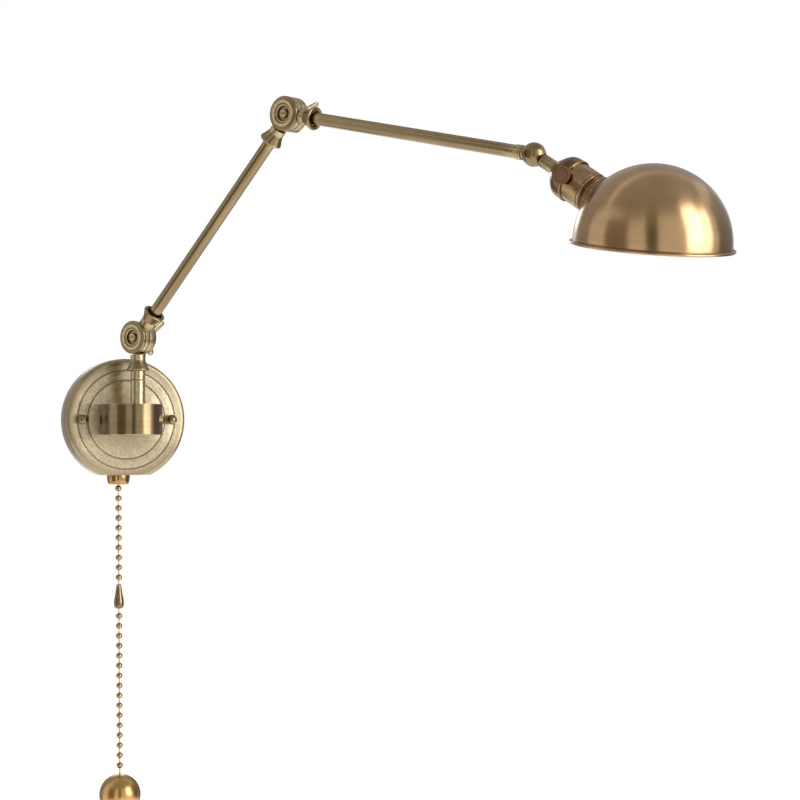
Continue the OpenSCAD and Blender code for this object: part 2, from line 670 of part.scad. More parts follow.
// Shade: a half sphere on the lampholder's thread, between a collar and an inner ring
collar_length = 5;
collar_start = shell_end + 4;
collar_r = thread_r + 1.8;
collar_reach = collar_start + 14;
ring_width = 4;
shade_drop = 6.9;
shade_centre = collar_start + collar_length
    + sqrt(pow(shade_r, 2) - pow(collar_r - shade_drop, 2));
shade_hole_r = thread_r + 0.4;
shade_edge = 0.9;
flange_wall = 1.1;
bead_roll_r = 1.2;
module at_shade() in_head() translate([shade_centre, 0, -shade_drop]) children();
module on_shade_axis() at_shade() rotate([shade_twist, 0, 0]) rotate([0, -shade_back, 0])
    children();
module shade() color(brass) difference() {
    on_shade_axis() {
        difference() {
            sphere(r = shade_r, $fn = 180);
            sphere(r = shade_r - shade_wall, $fn = 180);
            translate([-shade_r - 5, -shade_r - 5, -2*shade_r - shade_edge])
                cube([2*shade_r + 10, 2*shade_r + 10, 2*shade_r]);
        }
        rotate_extrude($fn = 180) {
            polygon([[shade_r - shade_wall - 0.2, -shade_edge - flange_wall + 0.2],
                [shade_r - shade_wall - 0.2, -shade_edge + 0.6], [shade_r - 0.3, -shade_edge + 0.6],
                [shade_r + 0.3, -shade_edge], [flange_r, -shade_edge],
                [flange_r, -shade_edge - flange_wall], [shade_r, -shade_edge - flange_wall]]);
            translate([flange_r, -shade_edge - bead_roll_r]) circle(r = bead_roll_r, $fn = 24);
        }
    }
    in_head() along_x(collar_start) cylinder(r = shade_hole_r, h = shade_r/2);
}
module shade_collar() color(dark_brass) difference() {
    in_head() turned() polygon([
        [thread_r + thread_gap, collar_start], [collar_r - 0.9, collar_start],
        [collar_r - 0.7, collar_start + 2.6], [collar_r, collar_start + 3.8],
        [collar_r, collar_reach], [thread_r + thread_gap, collar_reach]]);
    at_shade() sphere(r = shade_r + seat_gap, $fn = 180);
}
module shade_ring() color(gold) intersection() {
    in_head() along_x(collar_start + 2)
        ring(thread_r + thread_gap, thread_r + ring_width, collar_reach - collar_start - 2);
    at_shade() sphere(r = shade_r - shade_wall - seat_gap, $fn = 180);
}

// Pull chain: it leans out a little, so that the ball hangs clear of the wall
wall_gap = 0.4;
first_bead = 3.75;
link_r = 0.65;
link_in_sight = 3.5;
connector_gap = bead_r + link_in_sight;
connector_length = 24;
connector_r = 4.8;
rod_end = 0.3;
upper_last = first_bead + (upper_beads - 1)*bead_pitch;
connector_start = upper_last + connector_gap;
lower_first = connector_start + connector_length + connector_gap + link_r;
lower_last = lower_first + (lower_beads - 1)*bead_pitch;
ball_top = lower_last + bead_r + 1.4*link_in_sight;
ball_drop = ball_top + pull_ball_r;
ball_wall = 1.2;
held_bead = ball_top + ball_wall + seat_gap + bead_r + 0.25;
chain_lean = asin(max(0, pull_ball_r + wall_gap + switch_y)/ball_drop);
module on_chain(drop = 0) translate([switch_x, switch_y, nozzle_under])
    rotate([-chain_lean, 0, 0]) translate([0, 0, -drop]) children();
module beads(first, count) for (i = [0:count - 1]) on_chain(first + i*bead_pitch)
    sphere(r = bead_r, $fn = 24);
module link(start, end) on_chain(end) cylinder(r = link_r, h = end - start, $fn = 16);

rod_r = 1.2;
rod_length = 24;
rod_head_r = 2.6;
rod_head_height = 3;
module pull_rod() color(steel) {
    on_chain(rod_end) cylinder(r = rod_r, h = rod_length);
    on_chain(rod_end - rod_length + 3*rod_r) cylinder(r = rod_head_r, h = rod_head_height);
}
module upper_chain() color(gold) {
    beads(first_bead, upper_beads);
    link(first_bead, connector_start - seat_gap);
}
module chain_connector() color(dark_brass) on_chain(connector_start + connector_length)
    rotate_extrude() polygon([
        [0, 0], [2.4, 0], [3, 0.8], [3, 2.2], [connector_r - 0.6, 3.2], [connector_r, 5],
        [connector_r, 8.5], [connector_r - 0.7, 12], [2.9, 18], [2.5, 21], [2.5, 23],
        [1.8, connector_length], [0, connector_length]]);
module lower_chain() color(gold) {
    beads(lower_first, lower_beads);
    beads(held_bead, 1);
    link(connector_start + connector_length + seat_gap, held_bead);
}
module pull_ball() color(brass) difference() {
    on_chain(ball_drop) sphere(r = pull_ball_r);
    on_chain(ball_drop) sphere(r = pull_ball_r - ball_wall);
    on_chain(held_bead) cylinder(r = link_r + thread_gap, h = pull_ball_r);
}

canopy();
mounting_bracket();
bracket_studs();
stud_nuts();
ground_screw();
cap_nuts();
hub_nipple();
nipple_nuts();
hub_shell();
hub_cover();
cover_screws();
stem_set_screw();
nipple_set_screw();
swivel_bush();
thrust_washer();
switch_body();
switch_nozzle();
stem_tube();
stem_nut();
stem_bell();
mast_knuckle();
lower_bolt();
lower_washer();
lower_wing_nut();
lower_arm_knuckle();
lower_arm_bell();
lower_arm_tube();
lower_arm_end_bell();
elbow_lower_half();
elbow_bolt();
elbow_washer();
elbow_wing_nut();
elbow_upper_half();
upper_arm_bell();
upper_arm_tube();
upper_arm_ferrule();
head_ball_near();
head_screw();
head_washer();
head_ball_far();
socket_cap();
cap_lock_nut();
socket_shell();
socket_insert();
screw_shell();
centre_contact();
shade_collar();
shade_ring();
shade();
socket_knob();
pull_rod();
upper_chain();
chain_connector();
lower_chain();
pull_ball();
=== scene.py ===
"""Looks of a swing-arm wall lamp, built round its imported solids.

Everything is in the lamp's own frame: the wall is the plane y = 0, the lamp stands out
toward -Y, +Z is up, and the origin is the canopy's middle on the wall. Sections and
places are written in millimetres, as a turner writes them; meshes are made in metres.
"""

import json
import logging
import math
from dataclasses import dataclass
from enum import Enum
from typing import Sequence

import bmesh
import bpy
from mathutils import Matrix, Vector


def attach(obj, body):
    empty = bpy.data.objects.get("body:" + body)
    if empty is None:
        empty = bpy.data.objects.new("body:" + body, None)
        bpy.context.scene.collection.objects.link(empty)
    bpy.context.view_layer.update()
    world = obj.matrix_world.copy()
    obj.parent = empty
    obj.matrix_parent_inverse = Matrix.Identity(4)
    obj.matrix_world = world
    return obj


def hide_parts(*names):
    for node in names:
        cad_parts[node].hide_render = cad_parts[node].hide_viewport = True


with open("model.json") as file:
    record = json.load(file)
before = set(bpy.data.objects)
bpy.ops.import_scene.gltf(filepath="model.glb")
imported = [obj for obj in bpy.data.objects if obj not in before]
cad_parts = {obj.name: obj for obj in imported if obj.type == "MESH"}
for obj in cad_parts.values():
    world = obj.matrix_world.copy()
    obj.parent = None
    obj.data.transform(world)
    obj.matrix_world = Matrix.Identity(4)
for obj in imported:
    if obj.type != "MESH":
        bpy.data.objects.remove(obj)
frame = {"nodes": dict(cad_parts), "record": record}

LOG = logging.getLogger("wall_lamp")
MM = 0.001
TO_METRES = Matrix.Scale(MM, 4)
FIT = 0.05  # the gap round a piece that sits in another, in millimetres

Colour = tuple[float, float, float]
Point = tuple[float, float]
Thing = bpy.types.Object
Material = bpy.types.Material
Socket = bpy.types.NodeSocket
Feed = Socket | float | Colour  # what a node's input takes: another node's output or a plain value


def srgb(*levels: int) -> Colour:
    """Turns a colour as a screen shows it into the linear values that shaders take.

    Args:
        levels: red, green and blue from 0 to 255.

    Returns:
        The three linear values from 0 to 1.
    """
    shares = [level / 255 for level in levels]
    return tuple(s / 12.92 if s <= 0.04045 else ((s + 0.055) / 1.055) ** 2.4 for s in shares)


def turn(axis: str, degrees: float) -> Matrix:
    """A turn about one of the axes X, Y and Z."""
    return Matrix.Rotation(math.radians(degrees), 4, axis)


def shift(x: float = 0.0, y: float = 0.0, z: float = 0.0) -> Matrix:
    """A shift in millimetres."""
    return Matrix.Translation((x, y, z))


class Side(Enum):
    """Sides of a tilting joint: the near one faces the room's left."""

    NEAR = -1
    FAR = 1

    def frame(self) -> Matrix:
        """Local Z out of this side of a joint whose +X runs along the arm."""
        return turn("X", -90 * self.value)


@dataclass(frozen=True)
class Layout:
    """Headings and places that the sub-assemblies share, in degrees and millimetres."""

    heading: float = 58.0
    lower_tilt: float = 46.5
    upper_fall: float = 12.0
    head_fall: float = 32.4
    arm_length: float = 275.0
    joint_height: float = 79.0
    stem_reach: float = 70.0
    canopy_depth: float = 24.0
    switch_x: float = -5.0
    nozzle_under: float = -64.1
    chain_lean: float = 1.63051
    ball_drop: float = 304.0
    ball_r: float = 20.25
    collar_start: float = 71.5
    collar_r: float = 18.4

    def arm_way(self, tilt: float) -> Vector:
        """The direction of an arm with this rise above level."""
        h, t = math.radians(self.heading), math.radians(tilt)
        return Vector((math.cos(h) * math.cos(t), -math.sin(h) * math.cos(t), math.sin(t)))

    @property
    def lower_joint(self) -> Vector:
        """The middle of the joint on the stem."""
        return Vector((0.0, -self.stem_reach, self.joint_height))

    @property
    def elbow_joint(self) -> Vector:
        """The middle of the joint between the arms."""
        return self.lower_joint + self.arm_length * self.arm_way(self.lower_tilt)

    @property
    def head_joint(self) -> Vector:
        """The middle of the ball-shaped swivel."""
        return self.elbow_joint + self.arm_length * self.arm_way(-self.upper_fall)

    def at_joint(self, place: Vector, tilt: float) -> Matrix:
        """A joint's frame with +X along the arm and -Y to the near side."""
        return Matrix.Translation(place) @ turn("Z", -self.heading) @ turn("Y", -tilt)

    def stem(self) -> Matrix:
        """The stem's frame, +Z up its axis."""
        return shift(0, -self.stem_reach, 0)

    def head(self) -> Matrix:
        """The lampholder's frame with +X toward the bulb."""
        return self.at_joint(self.head_joint, -self.head_fall)

    def chain(self, drop: float = 0.0) -> Matrix:
        """The chain's frame, local -Z down the chain, at a drop below the nozzle."""
        top = shift(self.switch_x, -self.canopy_depth / 2, self.nozzle_under)
        return top @ turn("X", -self.chain_lean) @ shift(0, 0, -drop)


def along_x(start: float = 0.0) -> Matrix:
    """Local Z along X from a start."""
    return shift(start) @ turn("Y", 90)


def from_wall(x: float = 0.0) -> Matrix:
    """Local Z out of the wall."""
    return shift(x) @ turn("X", 90)


LAYOUT = Layout()


class Grain(Enum):
    """Which way a finish is brushed, in the frame it is dressed in."""

    AROUND = "around local Z, as a turned or spun piece"
    ALONG = "along local Z, as a drawn tube"
    NONE = "no brushing"


class Graph:
    """A node tree of a material or a world, with short calls for the nodes in use."""

    def __init__(self, owner: Material | bpy.types.World) -> None:
        """Starts an empty tree with its output.

        Args:
            owner: the new material or world.
        """
        owner.use_nodes = True
        self.owner, self.tree = owner, owner.node_tree
        self.tree.nodes.clear()
        self.output = self.tree.nodes.new("ShaderNodeOutput" + owner.bl_rna.identifier)

    def add(
        self, kind: str, links: dict[str | int, Feed] | None = None, **settings: str | bool,
    ) -> bpy.types.Node:
        """Adds a node.

        Args:
            kind: the node's type without its ShaderNode prefix.
            links: input name or number to a socket that feeds it or to a plain value;
                a colour has three numbers.
            settings: the node's own properties.

        Returns:
            The node.
        """
        node = self.tree.nodes.new("ShaderNode" + kind)
        for key, value in settings.items():
            setattr(node, key, value)
        for key, value in (links or {}).items():
            entry = node.inputs[key]
            if isinstance(value, Socket):
                self.tree.links.new(value, entry)
            else:
                entry.default_value = (*value, 1) if entry.type == "RGBA" else value
        return node

    def show(self, node: bpy.types.Node) -> None:
        """Joins a shader to the output."""
        self.tree.links.new(node.outputs[0], self.output.inputs[0])

    def math(self, operation: str, first: Feed, second: Feed) -> Socket:
        """The result of one sum on two sockets or numbers."""
        return self.add("Math", {0: first, 1: second}, operation=operation).outputs[0]

    def vector(self, operation: str, first: Feed, second: Feed = (0, 0, 0)) -> Socket:
        """The vector result of one operation on two vectors."""
        return self.add("VectorMath", {0: first, 1: second}, operation=operation).outputs[0]

    def scaled(self, vector: Socket, factor: float) -> Socket:
        """A vector times a number."""
        return self.add("VectorMath", {0: vector, "Scale": factor}, operation="SCALE").outputs[0]

    def noise(self, where: Socket, scale: float, detail: float = 2.0, rough: float = 0.5) -> Socket:
        """Noise read at a place."""
        values = {"Vector": where, "Scale": scale, "Detail": detail, "Roughness": rough}
        return self.add("TexNoise", values).outputs["Fac"]

    def ramp(self, factor: Socket, low: float, high: float, least: float = 0.0) -> Socket:
        """A grey ramp that rises to white.

        Args:
            factor: what drives the ramp.
            low: the factor at its foot.
            high: the factor at its top.
            least: the level at its foot.

        Returns:
            The ramp's colour socket.
        """
        node = self.add("ValToRGB", {0: factor})
        for element, place, level in zip(node.color_ramp.elements, (low, high), (least, 1.0)):
            element.position = place
            element.color = (level, level, level, 1)
        return node.outputs[0]

    def mix(self, factor: Feed, first: Feed, second: Feed) -> Socket:
        """One colour, a socket or three numbers, under another that shows by a factor."""
        return self.add("Mix", {0: factor, 6: first, 7: second}, data_type="RGBA").outputs[2]

    def spread(self, factor: Socket, low: float, high: float) -> Socket:
        """A factor from 0 to 1 mapped between two values."""
        return self.add("MapRange", {0: factor, 3: low, 4: high}).outputs[0]

    def bump(self, height: Socket, strength: float, distance: float) -> Socket:
        """The normal of a rough skin, its height in metres."""
        return self.add("Bump", {"Height": height, "Strength": strength, "Distance": distance}).outputs[0]

    def edge(self) -> Socket:
        """Edge marks: 1 on a rubbed corner, worn paler; -1 in a hollow one, where shade is painted."""
        return self.add("Attribute", attribute_name="edge").outputs["Fac"]

    def darker(self, colour: Feed, depth: float, dark: Colour) -> tuple[Socket, Socket]:
        """Paints shade into the hollow corners.

        Args:
            colour: the colour, a socket or three numbers.
            depth: how dark the painted shade gets.
            dark: the colour in them.

        Returns:
            The new colour and the share of dark in it.
        """
        hollow = self.math("MAXIMUM", self.math("MULTIPLY", self.edge(), -depth), 0.0)
        return self.mix(hollow, colour, dark), hollow

    def object_place(self) -> Socket:
        """The shaded point in its object's frame, in metres."""
        return self.add("TexCoord").outputs["Object"]

    def local_place(self, frame_place: Matrix) -> Socket:
        """The shaded point in a piece's own frame, in metres.

        Args:
            frame_place: the piece's frame in millimetres.

        Returns:
            A vector socket.
        """
        back = (TO_METRES @ frame_place @ TO_METRES.inverted()).inverted()
        place, rotation, _ = back.decompose()
        values = {"Vector": self.object_place(), "Location": place, "Rotation": rotation.to_euler("XYZ")}
        return self.add("Mapping", values).outputs[0]

    def surface(self, **inputs: Feed) -> bpy.types.Node:
        """The Principled shader, joined to the output.

        Args:
            inputs: its inputs by name, with _ for a space; sockets or plain values.

        Returns:
            The Principled node.
        """
        shader = self.add("BsdfPrincipled", {key.replace("_", " "): value for key, value in inputs.items()})
        self.show(shader)
        return shader


@dataclass(frozen=True)
class Metal:
    """A brushed, spun or polished metal with a thin patina.

    Its brushing follows the frame it is dressed in. Where a mesh carries the edge
    attribute, rubbed edges are worn paler and recesses get a painted shade.
    """

    name: str
    colour: Colour
    pale: Colour
    dark: Colour
    roughness: float = 0.3
    grain: Grain = Grain.AROUND
    grain_per_mm: float = 1.6
    grain_bump: float = 0.25
    grain_tone: float = 0.35
    anisotropy: float = 0.5
    patina: float = 0.35
    coat: float = 0.15
    # how strongly shade is painted into hollow corners
    hollow: float = 0.8
    smudge: float = 0.3
    rubbed: float = 0.75
    grime: float = 0.2
    line_depth: float = 0.00006
    coat_roughness: float = 0.18

    def dress(self, place: Matrix, part: str) -> Material:
        """Makes the material for a piece's frame, or finds it again.

        Args:
            place: the piece's frame in millimetres.
            part: a word that tells frames apart in the material's name.

        Returns:
            The material.
        """
        name = f"{self.name}_{part}"
        if name in bpy.data.materials:
            return bpy.data.materials[name]
        graph = Graph(bpy.data.materials.new(name))
        local = graph.local_place(place)
        lines, streaks = self._grain(graph, local)
        tone = graph.ramp(graph.noise(local, 45.0, 4.0, 0.6), 0.32, 0.72)
        colour = graph.mix(graph.math("MULTIPLY", tone, self.patina), self.colour, self.dark)
        colour = graph.mix(graph.math("MULTIPLY", streaks, self.grain_tone), colour, self.dark)
        scuffs = graph.ramp(graph.noise(local, 400.0, 3.0), 0.3, 0.7, 0.35)
        worn = graph.math("MULTIPLY", graph.math("MAXIMUM", graph.edge(), 0.0), scuffs)
        colour = graph.mix(graph.math("MULTIPLY", worn, self.rubbed), colour, self.pale)
        # painted shade: hollow corners are mixed toward the dark colour; their share also adds grime
        # roughness
        colour, hollow = graph.darker(colour, self.hollow, self.dark)
        least, most = self.roughness * (1 - self.smudge), self.roughness * (1 + self.smudge)
        rough = graph.spread(graph.noise(local, 90.0, 5.0, 0.65), least, most)
        inputs = {
            "Base_Color": colour,
            "Metallic": 1.0,
            "Roughness": graph.math("ADD", rough, graph.math("MULTIPLY", hollow, self.grime)),
            "Normal": graph.bump(lines, self.grain_bump, self.line_depth),
            "Coat_Weight": self.coat,
            "Coat_Roughness": self.coat_roughness,
            "Anisotropic": self.anisotropy,
        }
        if self.grain is not Grain.NONE:
            inputs["Tangent"] = self._tangent(graph, place)
        graph.surface(**inputs)
        return graph.owner

    def _grain(self, graph: Graph, local: Socket) -> tuple[Socket, Socket]:
        """The brushing as fine lines for the bump and broad streaks for the colour.

        Args:
            graph: the material's tree.
            local: the place in the piece's frame.

        Returns:
            The fine lines and the streaks.
        """
        if self.grain is Grain.NONE:
            return graph.noise(local, 1500.0, 2.0), graph.ramp(graph.noise(local, 160.0, 3.0), 0.45, 0.75)
        split = graph.add("SeparateXYZ", {0: local}).outputs
        flat = graph.add("CombineXYZ", {0: split[0], 1: split[1]}).outputs[0]
        facing = graph.vector("NORMALIZE", flat)
        run = split[2]
        if self.grain is Grain.AROUND:
            radius = graph.add("VectorMath", {0: flat}, operation="LENGTH").outputs["Value"]
            run = graph.math("ADD", run, graph.math("MULTIPLY", radius, 0.83))
            cycles = self.grain_per_mm / MM
            fine, broad = (1.3, cycles), (0.7, 0.14 * cycles)
        else:
            fine, broad = (6.0 * self.grain_per_mm, 14.0), (1.6 * self.grain_per_mm, 5.6)
        places = []
        for around, along in (fine, broad):
            line = graph.add("CombineXYZ", {2: graph.math("MULTIPLY", run, along)}).outputs[0]
            places.append(graph.vector("ADD", graph.scaled(facing, around), line))
        streaks = graph.ramp(graph.noise(places[1], 1.0, 3.0, 0.6), 0.4, 0.7)
        return graph.noise(places[0], 1.0, 5.0, 0.7), streaks

    def _tangent(self, graph: Graph, place: Matrix) -> Socket:
        """The direction across the brushing, in which highlights run out.

        Args:
            graph: the material's tree.
            place: the piece's frame.

        Returns:
            A vector socket in world space.
        """
        axis = (place.to_3x3() @ Vector((0, 0, 1))).normalized()
        spaces = {"vector_type": "VECTOR", "convert_from": "OBJECT", "convert_to": "WORLD"}
        world = graph.add("VectorTransform", {0: tuple(axis)}, **spaces).outputs[0]
        normal = graph.add("NewGeometry").outputs["Normal"]
        around = graph.vector("CROSS_PRODUCT", world, normal)
        if self.grain is Grain.ALONG:
            return graph.vector("NORMALIZE", around)
        return graph.vector("NORMALIZE", graph.vector("CROSS_PRODUCT", around, normal))


@dataclass(frozen=True)
class Moulded:
    """A moulded, pressed or glazed material with a fine skin texture."""

    name: str
    colour: Colour
    dark: Colour
    roughness: float = 0.4
    skin_bump: float = 0.2
    coat: float = 0.0
    coat_roughness: float = 0.1
    skin_depth: float = 0.00008
    mottle: float = 0.4
    gloss: float = 0.5
    # how strongly shade is painted into hollow corners
    hollow: float = 0.7

    def dress(self) -> Material:
        """Makes the material, or finds it again.

        Returns:
            The material.
        """
        name = f"{self.name}_all"
        if name in bpy.data.materials:
            return bpy.data.materials[name]
        graph = Graph(bpy.data.materials.new(name))
        where = graph.object_place()
        cloud = graph.ramp(graph.noise(where, 120.0, 4.0, 0.6), 0.3, 0.75)
        colour = graph.mix(graph.math("MULTIPLY", cloud, self.mottle), self.colour, self.dark)
        patches = graph.noise(where, 200.0, 4.0)
        graph.surface(
            # the base colour carries painted shade in hollow corners
            Base_Color=graph.darker(colour, self.hollow, self.dark)[0],
            Roughness=graph.spread(patches, 0.8 * self.roughness, 1.25 * self.roughness),
            Normal=graph.bump(graph.noise(where, 900.0, 3.0), self.skin_bump, self.skin_depth),
            Coat_Weight=self.coat,
            Coat_Roughness=self.coat_roughness,
            Specular_IOR_Level=self.gloss,
        )
        return graph.owner


PLATE_BRASS = Metal(
    "plate_brass", srgb(161, 145, 114), srgb(212, 198, 168), srgb(106, 84, 58),
    roughness=0.27, grain_per_mm=1.3, anisotropy=0.9, grain_tone=0.2, patina=0.05, hollow=0.2, smudge=0.05,
)
HUB_BRASS = Metal(
    "aged_brass", srgb(143, 122, 90), srgb(205, 182, 138), srgb(70, 52, 35),
    roughness=0.22, anisotropy=0.3, grain_tone=0.25, patina=0.3, grain_per_mm=2.2,
)
HOLDER_BRASS = Metal(
    "holder_brass", srgb(126, 98, 63), srgb(185, 155, 112), srgb(58, 40, 26),
    roughness=0.24, anisotropy=0.35, grain_tone=0.3, patina=0.3, grain_per_mm=2.0,
)
ARM_BRASS = Metal(
    "arm_brass", srgb(144, 124, 88), srgb(205, 188, 145), srgb(76, 58, 37),
    roughness=0.26, anisotropy=0.45, grain_tone=0.3, patina=0.25,
)
TUBE_BRASS = Metal(
    "tube_brass", srgb(149, 129, 93), srgb(205, 188, 145), srgb(86, 68, 43),
    roughness=0.25, grain=Grain.ALONG, anisotropy=0.5, grain_tone=0.5, patina=0.2,
)
SHADE_BRASS = Metal(
    "shade_brass", srgb(176, 145, 106), srgb(226, 206, 164), srgb(116, 84, 54),
    roughness=0.24, anisotropy=0.7, grain_tone=0.25, patina=0.12, grain_per_mm=1.1, smudge=0.15,
)
POLISHED_GOLD = Metal(
    "polished_gold", srgb(170, 134, 82), srgb(240, 205, 140), srgb(96, 58, 26),
    roughness=0.12, anisotropy=0.2, grain_tone=0.12, patina=0.15, grain_bump=0.1,
)
CHAIN_BRASS = Metal(
    "chain_brass", srgb(172, 143, 98), srgb(232, 208, 160), srgb(70, 46, 26),
    roughness=0.09, anisotropy=0.2, grain_tone=0.15, patina=0.2, grain_bump=0.1,
)
BALL_BRASS = Metal(
    "ball_brass", srgb(194, 155, 97), srgb(235, 210, 150), srgb(120, 84, 46),
    roughness=0.24, anisotropy=0.4, grain_tone=0.15, patina=0.25,
)
RAW_BRASS = Metal(
    "raw_brass", srgb(205, 175, 105), srgb(240, 220, 165), srgb(120, 90, 45), roughness=0.24, patina=0.3,
)
ZINC_STEEL = Metal(
    "steel", srgb(190, 192, 196), srgb(235, 236, 240), srgb(110, 112, 116),
    roughness=0.33, grain=Grain.NONE, anisotropy=0.0, patina=0.5,
)
GROUND_GREEN = Metal(
    "ground_green", srgb(70, 130, 78), srgb(130, 180, 130), srgb(30, 70, 40),
    roughness=0.4, grain=Grain.NONE, anisotropy=0.0,
)
FIBRE = Moulded("fibre", srgb(120, 74, 48), srgb(70, 40, 26), roughness=0.75)
SWITCH_PLASTIC = Moulded("switch_plastic", srgb(42, 42, 46), srgb(18, 18, 20), roughness=0.5)
PORCELAIN = Moulded(
    "porcelain", srgb(240, 238, 230), srgb(214, 208, 194), roughness=0.12, coat=0.6, skin_bump=0.05,
)
KNOB_BROWN = Moulded(
    "knob_brown", srgb(120, 82, 54), srgb(78, 50, 32), roughness=0.45, gloss=0.25, skin_bump=0.1,
)


@dataclass(frozen=True)
class Eased:
    """A closed section with its corners rounded.

    Each point is (across, up, mark): 1 on a rubbed outer corner, worn paler; -1 in a hollow
    one, where shade is painted.
    """

    points: tuple[tuple[float, float, float], ...]

    SLIGHT = 0.35  # a corner that bends less than this, in radians, is part of a curve
    WIDEST = 2.6  # the bend, in radians, above which a corner is rounded no further
    SHARE = 0.42  # the most that a rounding takes of a side
    ON_AXIS = 1e-6

    @classmethod
    def of(cls, outline: Sequence[Point], radius: float = 0.25, steps: int = 3) -> "Eased":
        """Rounds the corners of an outline.

        Args:
            outline: the corners in order, in millimetres; the section closes itself.
            radius: the rounding of each corner, less where its sides are short.
            steps: faces round each corner.

        Returns:
            The eased section.
        """
        corners = [Vector(p) for p in outline]
        if sum(a.x * b.y - b.x * a.y for a, b in zip(corners, corners[1:] + corners[:1])) < 0:
            corners.reverse()
        points = []
        for i, corner in enumerate(corners):
            before, after = corners[i - 1], corners[(i + 1) % len(corners)]
            into, out = corner - before, after - corner
            bend = into.normalized().cross(out.normalized()) if into.length and out.length else 0.0
            angle = math.asin(max(-1.0, min(1.0, bend)))
            if into.dot(out) < 0:
                angle = math.copysign(math.pi - abs(angle), angle)
            if abs(angle) < cls.SLIGHT or corner.x < cls.ON_AXIS:
                points.append((corner.x, corner.y, 0.0))
                continue
            wanted = radius * math.tan(min(abs(angle), cls.WIDEST) / 2)
            reach = min(wanted, cls.SHARE * into.length, cls.SHARE * out.length)
            start = corner - into.normalized() * reach
            end = corner + out.normalized() * reach
            for step in range(steps + 1):
                t = step / steps
                place = start.lerp(corner, t).lerp(corner.lerp(end, t), t)
                # a convex corner is marked +1 and worn paler, a hollow one -1 and given a painted shade
                points.append((place.x, place.y, math.copysign(1.0, angle)))
        return cls(tuple(points))


class Way(Enum):
    """How a solid is combined with others."""

    CUT = "DIFFERENCE"
    JOIN = "UNION"


